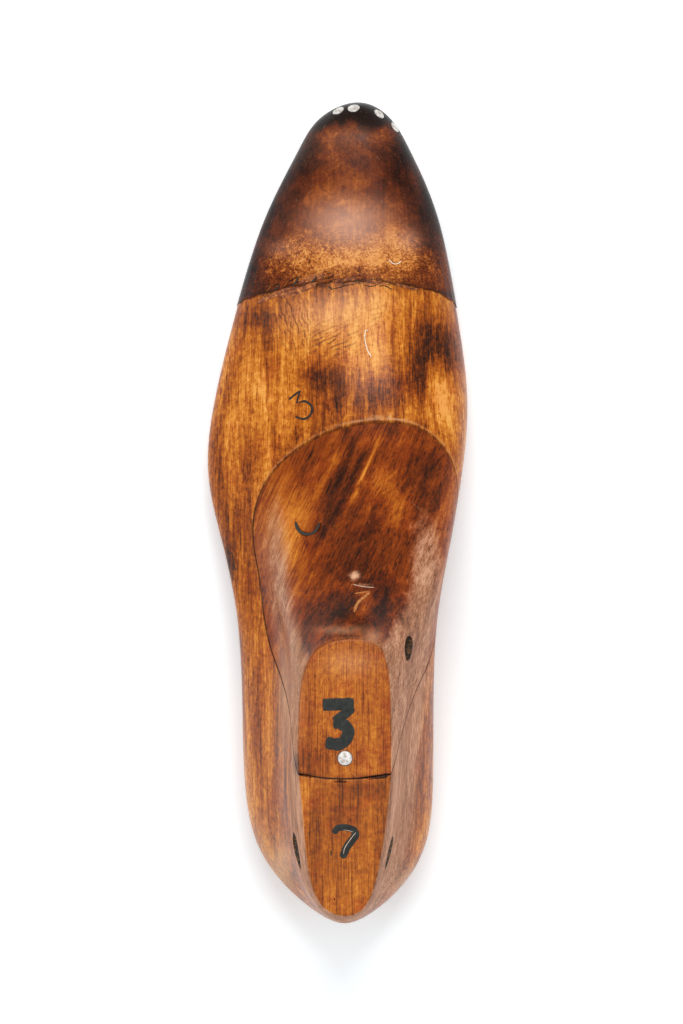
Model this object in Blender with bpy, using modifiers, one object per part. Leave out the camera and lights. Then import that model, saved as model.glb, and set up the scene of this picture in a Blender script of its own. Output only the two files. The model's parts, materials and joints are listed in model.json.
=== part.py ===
"""Cobbler's last for a left foot: sawn scoop block, leather toe build-up and steel fastenings.

+Y runs from heel to toe, +X towards the medial side and +Z up. The last stands on its heel seat
and its tread, and the origin is the centre of the heel seat. Sizes are in millimetres until a
mesh or a placing turns them into Blender's metres. Stations are measured forward from the back
of the heel.
"""

import math
from dataclasses import dataclass

import bmesh
import bpy
import numpy as np
from mathutils import Vector
from mathutils.bvhtree import BVHTree

MM = 0.001

# The whole last
LAST_LENGTH = 285.0
CONE_HEIGHT = 98.0
HEEL_CENTRE = 32.0
SEAT_WIDTH = 65.7
WAIST_WIDTH = 67.6
THROAT_WIDTH = 71.0
JOINT_WIDTH = 79.7
BALL_WIDTH = 90.8
COVER_WIDTH = 76.8
TOE_WIDTH = 59.0
POINT_WIDTH = 38.7
NOSE_WIDTH = 26.2
PLATE_WIDTH = 27.9
THROAT_HEIGHT = 89.0
JOINT_HEIGHT = 66.5
BALL_HEIGHT = 45.5
COVER_HEIGHT = 33.6
TOE_HEIGHT = 31.3
ARCH_HEIGHT = 8.5
TOE_SPRING = 10.5
# The skin is drawn up to a ridge over the cone, and the plate is where it is sawn off
RIDGE_OVER_PLATE = 34.0

# The saw cut that frees the scoop block
SEAM_GAP = 0.4
SEAM_STATION = 58.3
SEAM_BED = 35.5
SEAM_RISE = 1.7
SEAM_LEAD = 10.0
SEAM_RUNOUT = 0.35
# Steps forward from the cut's line on the plate, and shares of the fall from plate to bed
SEAM_FALL = ((7.7, 0.776), (18.7, 0.488), (31.7, 0.232), (46.7, 0.072), (66.7, 0.0))
# Steps forward, and heights above the bed
SEAM_FRONT = ((91.7, 1.5), (116.7, 7.5))
# The cut bows towards the heel where it crosses the plate, and straightens down the cone
SEAM_BOW = 1.5
SEAM_BOW_REACH = 25.0

# The leather toe build-up
LEATHER_THICKNESS = 1.9
LEATHER_EDGE = 0.6
LEATHER_SKIVE = 24.0
LEATHER_SKIVE_ROWS = 2.0
SEAT_CLEARANCE = 0.3

# The hook holes that the last is pulled by
HEEL_HOOK_DIAMETER = 9.0
HEEL_HOOK_STATION = 31.0
HEEL_HOOK_DROP = 18.0
BLOCK_HOOK_DIAMETER = 8.5
BLOCK_HOOK_STATION = 97.3
BLOCK_HOOK_DROP = 20.0
BLOCK_HOOK_DEPTH = 18.0

# The pin that holds the block down, and the sprung sleeve that grips it
PIN_OFFSET = 0.6
PIN_STATION = 63.4
PIN_DIAMETER = 2.6
PIN_LENGTH = 42.0
PIN_HEAD_DIAMETER = 4.6
PIN_HEAD_THICKNESS = 1.4
PIN_END_SPACE = 2.0
SLEEVE_WALL = 0.8
SLEEVE_LENGTH = 20.0
SLEEVE_DROP = 18.0
SLEEVE_SLIT = 0.8
SLIDING_CLEARANCE = 0.15

# The nails through the leather
NAIL_DIAMETER = 1.6
NAIL_LENGTH = 9.0
NAIL_HEAD_DIAMETER = 4.2
NAIL_HEAD_THICKNESS = 0.7
NAIL_CROWN = 0.35
NAIL_CLEARANCE = 0.2
NAIL_HOLE_LEAD = 4.0
POINT_LENGTH = 2.0
# Each nail's distance from the last's middle line, and back from its tip
NAIL_SPOTS = {
    "toe_nail_lateral": (-1.6, 3.6),
    "toe_nail_centre": (3.7, 3.0),
    "toe_nail_medial": (12.6, 4.7),
    "toe_nail_side": (18.2, 9.0),
}

# Fineness of the facets
SPAN_STEPS = 4
SIDE_STEPS = (3, 4, 4, 4)
LEDGE_STEPS = 1
SOLE_STEPS = 6
SEAM_STEPS = 3
BOW_STEPS = 6
ROUND_STEPS = 24
SHARP_ANGLE = 35.0
WELD = 0.002
REACH = 40.0


@dataclass(frozen=True)
class Rib:
    """A line over the last's skin, from the feather edge over the widest point to the ridge.

    Pairs are lateral then medial. outline, flank and shoulder are points, tuck is how far the
    feather edge lies inside the outline, and edge is that edge's height above the floor.
    """

    outline: tuple
    flank: tuple
    shoulder: tuple
    ridge: tuple
    tuck: tuple
    edge: tuple
    crown: float


def across(width, lateral_share, stations, heights):
    """Return the lateral and the medial outline point of a place that is so wide."""
    lateral = (-width * lateral_share, stations[0], heights[0])
    medial = (width * (1.0 - lateral_share), stations[1], heights[1])
    return lateral, medial


def last_ribs():
    """Return the ribs from the middle of the heel's back round to the toe's tip."""
    top = CONE_HEIGHT
    peak = CONE_HEIGHT + RIDGE_OVER_PLATE
    cone_side = 0.6 * CONE_HEIGHT
    half_plate = 0.5 * PLATE_WIDTH
    tip = LAST_LENGTH
    back = Rib(
        outline=((0.5, 0.5, 24.0), (0.5, 0.5, 24.0)),
        flank=((0.5, 4.6, cone_side), (0.5, 4.6, cone_side)),
        shoulder=((0.5, 13.2, top), (0.5, 13.2, top)),
        ridge=(0.5, 30.0, peak),
        tuck=(3.4, 3.4), edge=(1.8, 1.8), crown=1.0,
    )
    corner = Rib(
        outline=((-12.6, 6.2, 24.0), (13.8, 6.2, 24.0)),
        flank=((-6.6, 8.2, cone_side), (7.2, 8.2, cone_side)),
        shoulder=((-4.4, 14.5, top), (5.2, 14.5, top)),
        ridge=(0.5, 32.0, peak),
        tuck=(3.4, 3.4), edge=(1.4, 1.4), crown=1.4,
    )
    quarter = Rib(
        outline=((-29.3, 25.5, 23.0), (28.4, 25.5, 23.0)),
        flank=((-17.0, 25.0, cone_side), (16.7, 25.0, cone_side)),
        shoulder=((-10.7, 25.8, top), (10.8, 25.8, top)),
        ridge=(0.6, 36.0, peak),
        tuck=(4.0, 4.0), edge=(1.0, 1.0), crown=1.6,
    )
    seat = Rib(
        outline=across(SEAT_WIDTH, 0.522, (50.0, 50.0), (22.0, 22.0)),
        flank=((-20.6, 50.0, cone_side), (20.9, 50.0, cone_side)),
        shoulder=((0.6 - half_plate, 50.0, top), (0.6 + half_plate, 50.0, top)),
        ridge=(0.7, 52.0, peak),
        tuck=(4.0, 4.0), edge=(1.0, 1.0), crown=1.6,
    )
    waist = Rib(
        outline=across(WAIST_WIDTH, 0.533, (98.0, 98.0), (24.0, 36.0)),
        flank=((-22.4, 97.0, 0.5 * CONE_HEIGHT), (26.2, 98.0, 0.63 * CONE_HEIGHT)),
        shoulder=((1.1 - half_plate, 91.5, top - 1.5), (0.2 + half_plate, 92.5, top)),
        ridge=(1.5, 87.0, peak - 5.0),
        tuck=(5.5, 11.6), edge=(ARCH_HEIGHT, ARCH_HEIGHT + 1.0), crown=1.0,
    )
    throat = Rib(
        outline=across(THROAT_WIDTH, 0.535, (113.0, 112.0), (24.0, 38.0)),
        flank=((-27.0, 112.0, 38.5), (30.0, 112.0, 58.0)),
        shoulder=((-14.0, 110.0, THROAT_HEIGHT - 13.0), (18.5, 110.0, THROAT_HEIGHT - 11.0)),
        ridge=(4.5, 106.6, THROAT_HEIGHT),
        tuck=(6.5, 11.5), edge=(ARCH_HEIGHT - 0.5, ARCH_HEIGHT + 0.5), crown=1.0,
    )
    joint = Rib(
        outline=across(JOINT_WIDTH, 0.535, (133.0, 133.0), (20.0, 34.5)),
        flank=((-30.2, 132.0, 36.0), (36.2, 133.0, 45.5)),
        shoulder=((-15.5, 131.0, JOINT_HEIGHT - 8.5), (24.5, 131.0, JOINT_HEIGHT - 5.5)),
        ridge=(9.0, 130.0, JOINT_HEIGHT),
        tuck=(6.0, 10.0), edge=(0.6 * ARCH_HEIGHT, 0.7 * ARCH_HEIGHT), crown=1.2,
    )
    ball = Rib(
        outline=across(BALL_WIDTH, 0.522, (163.0, 172.0), (15.0, 18.0)),
        flank=((-31.0, 163.0, 31.5), (39.8, 171.0, 32.0)),
        shoulder=((-14.5, 163.0, BALL_HEIGHT - 5.2), (28.0, 167.0, BALL_HEIGHT - 3.2)),
        ridge=(14.5, 164.0, BALL_HEIGHT),
        tuck=(4.4, 4.4), edge=(1.2, 1.2), crown=1.6,
    )
    cover = Rib(
        outline=across(COVER_WIDTH, 0.482, (tip - 70.5, tip - 71.0), (13.0, 13.0)),
        flank=((-28.5, tip - 67.5, 25.3), (33.5, tip - 67.5, 25.8)),
        shoulder=((-12.5, tip - 65.0, 31.8), (22.0, tip - 65.0, 31.4)),
        ridge=(9.5, tip - 63.5, COVER_HEIGHT),
        tuck=(3.0, 2.6), edge=(0.19 * TOE_SPRING, 0.19 * TOE_SPRING), crown=1.0,
    )
    toe = Rib(
        outline=across(TOE_WIDTH, 0.446, (tip - 37.5, tip - 37.5), (15.0, 15.0)),
        flank=((-19.5, tip - 37.5, 25.0), (27.0, tip - 37.5, 25.0)),
        shoulder=((-6.0, tip - 37.5, 30.5), (17.5, tip - 37.5, 30.5)),
        ridge=(7.0, tip - 37.5, TOE_HEIGHT),
        tuck=(3.0, 2.0), edge=(0.6 * TOE_SPRING, 0.6 * TOE_SPRING), crown=0.8,
    )
    point = Rib(
        outline=across(POINT_WIDTH, 0.398, (tip - 16.0, tip - 16.0), (17.0, 17.0)),
        flank=((-11.8, tip - 16.8, 24.6), (20.2, tip - 16.8, 24.6)),
        shoulder=((-2.0, tip - 19.5, 29.5), (13.8, tip - 19.5, 29.5)),
        ridge=(6.6, tip - 25.0, TOE_HEIGHT - 0.4),
        tuck=(2.4, 2.0), edge=(0.9 * TOE_SPRING, 0.9 * TOE_SPRING), crown=0.6,
    )
    nose = Rib(
        outline=across(NOSE_WIDTH, 0.34, (tip - 6.2, tip - 6.2), (18.0, 18.0)),
        flank=((-5.6, tip - 7.8, 24.8), (14.4, tip - 7.8, 24.8)),
        shoulder=((1.6, tip - 12.0, 29.2), (11.0, tip - 12.0, 29.2)),
        ridge=(6.5, tip - 21.0, TOE_HEIGHT - 0.6),
        tuck=(2.0, 2.0), edge=(TOE_SPRING, TOE_SPRING), crown=0.4,
    )
    end = Rib(
        outline=((5.2, tip, 19.0), (5.2, tip, 19.0)),
        flank=((5.3, tip - 2.3, 24.9), (5.3, tip - 2.3, 24.9)),
        shoulder=((6.3, tip - 8.5, 29.1), (6.3, tip - 8.5, 29.1)),
        ridge=(6.4, tip - 19.0, TOE_HEIGHT - 0.7),
        tuck=(2.0, 2.0), edge=(TOE_SPRING + 1.0, TOE_SPRING + 1.0), crown=0.2,
    )
    ribs = (back, corner, quarter, seat, waist, throat, joint, ball, cover, toe, point, nose, end)
    return ribs, ribs.index(cover)


def once_round(ribs, field):
    """Return a rib field as a closed row: lateral side forward, then medial side back."""
    rows = [getattr(rib, field) for rib in ribs]
    lateral = [row[0] for row in rows]
    medial = [row[1] for row in rows[-2:0:-1]]
    return np.array(lateral + medial, dtype=float)


def closed_spline(knots, values):
    """Return a smooth closed curve through the values, as a function of the knots' measure.

    It is the periodic cubic spline, whose second derivatives solve one cyclic linear system.
    """
    values = np.asarray(values, dtype=float).reshape(len(knots) - 1, -1)
    count = len(values)
    step = np.diff(knots)
    system = np.zeros((count, count))
    right = np.zeros_like(values)
    for i in range(count):
        after = (i + 1) % count
        system[i, i - 1] += step[i - 1]
        system[i, i] += 2.0 * (step[i - 1] + step[i])
        system[i, after] += step[i]
        rise = (values[after] - values[i]) / step[i] - (values[i] - values[i - 1]) / step[i - 1]
        right[i] = 6.0 * rise
    bend = np.linalg.solve(system, right)

    def curve(at):
        at = np.mod(at, knots[-1])
        i = np.clip(np.searchsorted(knots, at, side="right") - 1, 0, count - 1)
        j = (i + 1) % count
        h = step[i][:, None]
        a = (knots[i + 1] - at)[:, None] / h
        b = 1.0 - a
        return a * values[i] + b * values[j] + ((a**3 - a) * bend[i] + (b**3 - b) * bend[j]) * h**2 / 6.0

    return curve


def through(points, end_slope, steps):
    """Return smooth rows through the points (Hermite), with the given direction at the last."""
    spans = [np.linalg.norm(b - a, axis=1)[:, None] for a, b in zip(points, points[1:])]
    rises = [(b - a) / span for a, b, span in zip(points, points[1:], spans)]
    slopes = [None]
    for before, after, near, far in zip(rises, rises[1:], spans, spans[1:]):
        slopes.append((before * far + after * near) / (near + far))
    slopes.append(end_slope)
    slopes[0] = 1.5 * rises[0] - 0.5 * slopes[1]
    rows = [points[0][:, None]]
    for k, count in enumerate(steps):
        t = (np.arange(1, count + 1) / count)[None, :, None]
        start, end = points[k][:, None], points[k + 1][:, None]
        leave = (spans[k] * slopes[k])[:, None]
        arrive = (spans[k] * slopes[k + 1])[:, None]
        row = (2 * t**3 - 3 * t**2 + 1) * start + (t**3 - 2 * t**2 + t) * leave
        rows.append(row + (3 * t**2 - 2 * t**3) * end + (t**3 - t**2) * arrive)
    return np.concatenate(rows, axis=1)


class Skin:
    """The last's outer surface: rails run round the last, and ribs climb from feather to ridge."""

    def __init__(self):
        ribs, cover = last_ribs()
        outline = once_round(ribs, "outline")
        half = len(ribs) - 1
        chords = np.linalg.norm(np.roll(outline, -1, axis=0) - outline, axis=1)
        sides = 0.5 * (chords[:half] + chords[half:][::-1])
        self.half = half
        self.knots = np.concatenate([[0.0], np.cumsum(np.concatenate([sides, sides[::-1]]))])
        self.cover_start = self.knots[cover]
        self.cover_ring = cover * SPAN_STEPS
        self.outline = closed_spline(self.knots, outline)
        self.flank = closed_spline(self.knots, once_round(ribs, "flank"))
        self.shoulder = closed_spline(self.knots, once_round(ribs, "shoulder"))
        mirrored = [(rib.ridge, rib.ridge, rib.crown) for rib in ribs]
        ridge = [row[0] for row in mirrored] + [row[1] for row in mirrored[-2:0:-1]]
        crown = [row[2] for row in mirrored] + [row[2] for row in mirrored[-2:0:-1]]
        self.ridge = closed_spline(self.knots, ridge)
        self.crown = closed_spline(self.knots, crown)
        self.tuck = closed_spline(self.knots, once_round(ribs, "tuck"))
        self.edge = closed_spline(self.knots, once_round(ribs, "edge"))

    def stations(self):
        """Return the measures where the mesh has a rib, a few to each span between two ribs."""
        steps = np.arange(SPAN_STEPS) / SPAN_STEPS
        starts, lengths = self.knots[:-1], np.diff(self.knots)
        return (starts[:, None] + lengths[:, None] * steps[None, :]).ravel()

    def feather(self, at):
        """Return the feather edge: the outline drawn in by the tuck, at the edge's height."""
        outline = self.outline(at)
        ahead = self.outline(at + 0.5) - self.outline(at - 0.5)
        inward = np.stack([ahead[:, 1], -ahead[:, 0]], axis=1)
        inward /= np.linalg.norm(inward, axis=1)[:, None]
        plan = outline[:, :2] + inward * self.tuck(at)
        return np.concatenate([plan, self.edge(at)], axis=1)

    def ridge_slope(self, at):
        """Return the direction in which each rib meets the ridge, level across it."""
        reach = np.minimum(at, self.knots[-1] - at)
        low = np.clip(reach - 1.0, 0.0, self.knots[self.half])
        high = np.clip(reach + 1.0, 0.0, self.knots[self.half])
        along = self.ridge(high) - self.ridge(low)
        climb = along[:, 2] / np.maximum(along[:, 1], 0.5)
        towards = self.ridge(at) - self.outline(at)
        slope = np.stack([towards[:, 0], towards[:, 1], towards[:, 1] * climb], axis=1)
        return slope / np.linalg.norm(slope, axis=1)[:, None]

    def rows(self, at):
        """Return the skin's points, one row of them up each rib."""
        points = [self.feather(at), self.outline(at), self.flank(at), self.shoulder(at), self.ridge(at)]
        return through(points, self.ridge_slope(at), SIDE_STEPS)

    def inward(self, at, partner):
        """Return the unit vectors that point into the last, where rows has its points.

        partner holds, for each rib, the rib that it meets on the ridge.
        """
        around = self.rows(at + 0.5) - self.rows(at - 0.5)
        upward = np.gradient(self.rows(at), axis=1)
        normal = np.cross(around, upward)
        normal[:, -1] = normal[:, -2] + normal[partner, -2]
        return normal / np.linalg.norm(normal, axis=2)[..., None]


def leather_thickness(at, skin):
    """Return the leather's thickness at each point: skived thin at its rear and lower edges."""
    behind = np.minimum(at, skin.knots[-1] - at) - skin.cover_start
    run = np.clip(behind / LEATHER_SKIVE, 0.0, 1.0)
    rise = np.clip((np.arange(sum(SIDE_STEPS) + 1) - LEDGE_STEPS) / LEATHER_SKIVE_ROWS, 0.0, 1.0)
    share = np.minimum(run[:, None], rise[None, :])
    share = share**2 * (3.0 - 2.0 * share)
    return LEATHER_EDGE + (LEATHER_THICKNESS - LEATHER_EDGE) * share


def grid_faces(rings, rows, closed):
    """Return the quads of a grid whose vertices are numbered ring by ring."""
    faces = []
    for ring in range(rings if closed else rings - 1):
        after = (ring + 1) % rings
        for row in range(rows - 1):
            low, high = ring * rows + row, after * rows + row
            faces.append((low, low + 1, high + 1, high))
    return faces


def finish_mesh(bm):
    """Weld the seams of a hand-built mesh, drop what that leaves flat, and face it outwards."""
    bmesh.ops.remove_doubles(bm, verts=bm.verts, dist=WELD)
    bmesh.ops.dissolve_degenerate(bm, edges=bm.edges, dist=WELD)
    bmesh.ops.recalc_face_normals(bm, faces=bm.faces)


def build_faces(bm, points, faces):
    """Add the points and the faces between them to the mesh."""
    vertices = [bm.verts.new(place) for place in points]
    for face in faces:
        bm.faces.new([vertices[index] for index in face])


def turned_last(skin):
    """Return the whole last before sawing, with the rebate that the toe leather sits in."""
    at = skin.stations()
    count = len(at)
    partner = (-np.arange(count)) % count
    skin_rows = skin.rows(at)
    depth = leather_thickness(at, skin) + SEAT_CLEARANCE
    sunk = skin_rows + skin.inward(at, partner) * depth[..., None]
    edge = skin.cover_ring
    plain = skin_rows[:, list(range(LEDGE_STEPS + 1)) + list(range(LEDGE_STEPS, skin_rows.shape[1]))]
    rebated = np.concatenate([skin_rows[:, : LEDGE_STEPS + 1], sunk[:, LEDGE_STEPS:]], axis=1)
    side = np.concatenate([plain[: edge + 1], rebated[edge : count - edge + 1], plain[count - edge :]])
    bm = bmesh.new()
    build_faces(bm, side.reshape(-1, 3), grid_faces(side.shape[0], side.shape[1], True))
    build_faces(bm, *sole_grid(skin, at, skin_rows[:, 0]))
    finish_mesh(bm)
    saw_flat(bm, CONE_HEIGHT, 1.0)
    saw_flat(bm, 0.0, -1.0)
    finish_mesh(bm)
    return bm


def sole_grid(skin, at, feather):
    """Return the sole's points and faces: lines straight across, bowed down by the crown."""
    half = len(at) // 2
    share = np.linspace(0.0, 1.0, SOLE_STEPS + 1)[None, :, None]
    lateral = feather[: half + 1][:, None]
    medial = feather[(-np.arange(half + 1)) % len(at)][:, None]
    points = lateral + (medial - lateral) * share
    bow = skin.crown(at[: half + 1]) * (1.0 - (2.0 * share[0, :, 0] - 1.0) ** 2)
    points[..., 2] -= bow
    points[0, :] = points[0, 0]
    points[-1, :] = points[-1, 0]
    return points.reshape(-1, 3), grid_faces(half + 1, SOLE_STEPS + 1, False)


def saw_flat(bm, height, side):
    """Saw the mesh level at a height, drop what lies beyond on that side, and close the cut."""
    geometry = bm.verts[:] + bm.edges[:] + bm.faces[:]
    plane = {"plane_co": (0.0, 0.0, height), "plane_no": (0.0, 0.0, side)}
    cut = bmesh.ops.bisect_plane(bm, geom=geometry, dist=WELD, clear_outer=True, **plane)
    rim = [item for item in cut["geom_cut"] if isinstance(item, bmesh.types.BMEdge) and item.is_boundary]
    bmesh.ops.edgeloop_fill(bm, edges=rim)


def toe_leather(skin):
    """Return the leather: a shell that tapers to its edges, with its own gap to the rebate."""
    start = skin.cover_start + SEAT_CLEARANCE
    end = skin.knots[-1] - start
    stations = skin.stations()
    ahead = stations[(stations > start) & (stations < end)]
    at = np.concatenate([[start], ahead, [end]])
    partner = np.arange(len(at))[::-1]
    outer = skin.rows(at)
    inner = outer + skin.inward(at, partner) * leather_thickness(at, skin)[..., None]
    outer, inner = outer[:, LEDGE_STEPS:], inner[:, LEDGE_STEPS:]
    for shell in (outer, inner):
        climb = shell[:, 1] - shell[:, 0]
        shell[:, 0] += climb * SEAT_CLEARANCE / np.linalg.norm(climb, axis=1)[:, None]
    rings, rows = outer.shape[:2]
    total = rings * rows
    outside = grid_faces(rings, rows, False)
    faces = outside + [tuple(index + total for index in reversed(face)) for face in outside]
    bm = bmesh.new()
    for ring in range(rings - 1):
        near, far = ring * rows, (ring + 1) * rows
        faces.append((near, far, far + total, near + total))
    for row in range(rows - 1):
        for ring in (0, rings - 1):
            near = ring * rows + row
            faces.append((near, near + 1, near + 1 + total, near + total))
    build_faces(bm, np.concatenate([outer.reshape(-1, 3), inner.reshape(-1, 3)]), faces)
    finish_mesh(bm)
    return bm


def seam_line(offset):
    """Return the saw cut's line in the upright plane, moved off the cut's middle by the offset."""
    fall = CONE_HEIGHT - SEAM_BED
    points = [(SEAM_STATION - SEAM_LEAD / SEAM_RISE, CONE_HEIGHT + SEAM_LEAD), (SEAM_STATION, CONE_HEIGHT)]
    points += [(SEAM_STATION + step, SEAM_BED + fall * share) for step, share in SEAM_FALL]
    points += [(SEAM_STATION + step, SEAM_BED + height) for step, height in SEAM_FRONT]
    points.append((points[-1][0] + REACH, points[-1][1] + REACH * SEAM_RUNOUT))
    line = np.array(points)
    slope = np.gradient(line[:, 1], line[:, 0])
    steps = np.diff(line[:, 0])
    fine = []
    for k, step in enumerate(steps):
        t = np.arange(SEAM_STEPS) / SEAM_STEPS
        low, high = line[k, 1], line[k + 1, 1]
        height = (2 * t**3 - 3 * t**2 + 1) * low + (t**3 - 2 * t**2 + t) * step * slope[k]
        height += (3 * t**2 - 2 * t**3) * high + (t**3 - t**2) * step * slope[k + 1]
        fine += list(zip(line[k, 0] + t * step, height))
    fine = np.array(fine + [tuple(line[-1])])
    tangent = np.gradient(fine, axis=0)
    tangent /= np.linalg.norm(tangent, axis=1)[:, None]
    return fine + offset * np.stack([-tangent[:, 1], tangent[:, 0]], axis=1)


def new_collection(name):
    """Return a new collection in the scene."""
    collection = bpy.data.collections.new(name)
    bpy.context.scene.collection.children.link(collection)
    return collection


def principled(name, colour, roughness, metallic):
    """Return a plain Principled material."""
    material = bpy.data.materials.new(name)
    material.use_nodes = True
    shader = material.node_tree.nodes["Principled BSDF"]
    shader.inputs["Base Color"].default_value = (*colour, 1.0)
    shader.inputs["Roughness"].default_value = roughness
    shader.inputs["Metallic"].default_value = metallic
    return material


def keep(obj, collection):
    """Move an object out of whatever holds it into the collection."""
    for holder in list(obj.users_collection):
        holder.objects.unlink(obj)
    collection.objects.link(obj)
    return obj


def mesh_object(name, bm, collection, material=None):
    """Return an object whose mesh is the given one, turned from millimetres into metres."""
    bmesh.ops.scale(bm, vec=(MM, MM, MM), verts=bm.verts)
    mesh = bpy.data.meshes.new(name)
    bm.to_mesh(mesh)
    bm.free()
    mesh.shade_smooth()
    mesh.set_sharp_from_angle(angle=math.radians(SHARP_ANGLE))
    if material is not None:
        mesh.materials.append(material)
    obj = bpy.data.objects.new(name, mesh)
    collection.objects.link(obj)
    return obj


def turned(name, profile, collection, material=None):
    """Return a turned piece: its profile of (radius, height) points runs from top to bottom."""
    mesh = bpy.data.meshes.new(name)
    points = [(radius * MM, 0.0, height * MM) for radius, height in profile]
    mesh.from_pydata(points, [(i, i + 1) for i in range(len(points) - 1)], [])
    if material is not None:
        mesh.materials.append(material)
    obj = bpy.data.objects.new(name, mesh)
    collection.objects.link(obj)
    screw = obj.modifiers.new("turn", "SCREW")
    screw.steps = ROUND_STEPS
    screw.render_steps = ROUND_STEPS
    screw.use_merge_vertices = True
    screw.merge_threshold = WELD * MM
    screw.use_smooth_shade = True
    return obj


def place(obj, spot, outward=(0.0, 0.0, 1.0), parent=None):
    """Put an object at a spot in millimetres, with its own +Z along the given direction."""
    turn = Vector((0.0, 0.0, 1.0)).rotation_difference(Vector(outward))
    obj.rotation_mode = "QUATERNION"
    obj.rotation_quaternion = turn
    obj.location = Vector(spot) * MM
    if parent is not None:
        obj.parent = parent
    return obj


def cut(obj, cutter, operation="DIFFERENCE"):
    """Cut an object by a cutter, or keep only what lies inside it."""
    boolean = obj.modifiers.new(cutter.name, "BOOLEAN")
    boolean.operation = operation
    boolean.solver = "EXACT"
    boolean.object = cutter


def as_cutter(obj):
    """Hide a cutter from renders and draw it as wire."""
    obj.hide_render = True
    obj.display_type = "WIRE"
    return obj


def seam_height(x, y, line):
    """Return the cut's height over the floor, bowed towards the heel near the plate."""
    across_plate = np.clip(1.0 - (2.0 * x / PLATE_WIDTH) ** 2, 0.0, 1.0)
    fade = np.clip(1.0 - (y - SEAM_STATION) / SEAM_BOW_REACH, 0.0, 1.0)
    return np.interp(y + SEAM_BOW * across_plate * fade, line[:, 0], line[:, 1])


def saw_solid(name, offset, collection):
    """Return the solid over the saw cut: the cut is its underside, carried up to a flat roof."""
    line = seam_line(offset)
    near_plate = 0.5 * PLATE_WIDTH * np.linspace(-1.0, 1.0, BOW_STEPS + 1)
    x = np.concatenate([[-BALL_WIDTH], near_plate, [BALL_WIDTH]])
    across_last, along = np.meshgrid(x, line[:, 0], indexing="ij")
    under = np.stack([across_last, along, seam_height(across_last, along, line)], axis=2)
    bm = bmesh.new()
    build_faces(bm, under.reshape(-1, 3), grid_faces(len(x), len(line), False))
    swept = bmesh.ops.extrude_face_region(bm, geom=bm.faces[:])
    for item in swept["geom"]:
        if isinstance(item, bmesh.types.BMVert):
            item.co.z = CONE_HEIGHT + 2.0 * REACH
    bmesh.ops.recalc_face_normals(bm, faces=bm.faces)
    return as_cutter(mesh_object(name, bm, collection))


def nail_sizes(clearance):
    """Return a nail's head and shank radius, and the levels under its head and at its tip."""
    head = 0.5 * NAIL_HEAD_DIAMETER + clearance
    shank = 0.5 * NAIL_DIAMETER + clearance
    under = -NAIL_HEAD_THICKNESS - clearance
    tip = -NAIL_LENGTH - clearance
    return head, shank, under, tip


def nail(name, collection, material):
    """Return a flat-headed nail with a low crown, its point down its own -Z."""
    head, shank, under, tip = nail_sizes(0.0)
    profile = [(0.0, NAIL_CROWN), (0.5 * head, 0.75 * NAIL_CROWN), (head, 0.0), (head, under)]
    profile += [(shank, under), (shank, tip + POINT_LENGTH), (0.0, tip)]
    return turned(name, profile, collection, material)


def nail_hole(name, collection):
    """Return the cutter of a nail's hole, with the countersink that its head sits in."""
    head, shank, under, tip = nail_sizes(NAIL_CLEARANCE)
    profile = [(0.0, NAIL_HOLE_LEAD), (head, NAIL_HOLE_LEAD), (head, under)]
    profile += [(shank, under), (shank, tip), (0.0, tip)]
    return as_cutter(turned(name, profile, collection))


def block_pin(collection, material):
    """Return the pin: a flat head level with the plate, and a long shank with a blunt point."""
    head = 0.5 * PIN_HEAD_DIAMETER
    shank = 0.5 * PIN_DIAMETER
    profile = [(0.0, 0.0), (head, 0.0), (head, -PIN_HEAD_THICKNESS), (shank, -PIN_HEAD_THICKNESS)]
    profile += [(shank, POINT_LENGTH - PIN_LENGTH), (0.4 * shank, -PIN_LENGTH), (0.0, -PIN_LENGTH)]
    return turned("block_pin", profile, collection, material)


def pin_sleeve(collection, cutters, material):
    """Return the sprung sleeve: a tube slit down one side, round the pin's shank."""
    bore = 0.5 * PIN_DIAMETER + SLIDING_CLEARANCE
    outside = bore + SLEEVE_WALL
    ends = (-SLEEVE_DROP, -SLEEVE_DROP - SLEEVE_LENGTH)
    profile = [(bore, ends[0]), (outside, ends[0]), (outside, ends[1]), (bore, ends[1]), (bore, ends[0])]
    sleeve = turned("pin_sleeve", profile, collection, material)
    slit = bmesh.new()
    bmesh.ops.create_cube(slit, size=1.0)
    bmesh.ops.scale(slit, vec=(SLEEVE_SLIT, outside * 2.0, SLEEVE_LENGTH * 1.5), verts=slit.verts)
    bmesh.ops.translate(slit, vec=(0.0, -outside, 0.5 * sum(ends)), verts=slit.verts)
    cutter = as_cutter(mesh_object("cut_sleeve_slit", slit, cutters))
    return sleeve, cutter


def pin_bore(cutters):
    """Return the cutters of the pin's way: countersunk in the block, stepped in the last."""
    shank = 0.5 * PIN_DIAMETER + SLIDING_CLEARANCE
    head = 0.5 * PIN_HEAD_DIAMETER + SLIDING_CLEARANCE
    under = -PIN_HEAD_THICKNESS - SLIDING_CLEARANCE
    seat = shank + SLEEVE_WALL + SLIDING_CLEARANCE
    step = -SLEEVE_DROP - SLEEVE_LENGTH - SLIDING_CLEARANCE
    end = -PIN_LENGTH - PIN_END_SPACE
    block = [(0.0, REACH), (head, REACH), (head, under), (shank, under), (shank, -REACH), (0.0, -REACH)]
    last = [(0.0, REACH), (seat, REACH), (seat, step), (shank, step), (shank, end), (0.0, end)]
    block_cutter = as_cutter(turned("cut_block_pin", block, cutters))
    last_cutter = as_cutter(turned("cut_last_pin", last, cutters))
    return block_cutter, last_cutter


def cross_hole(name, diameter, length, cutters):
    """Return a round cutter along X, centred on its own origin."""
    bpy.ops.mesh.primitive_cylinder_add(
        vertices=ROUND_STEPS, radius=0.5 * diameter * MM, depth=length * MM, rotation=(0.0, 0.5 * math.pi, 0.0)
    )
    obj = bpy.context.object
    obj.name = name
    return as_cutter(keep(obj, cutters))


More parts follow.
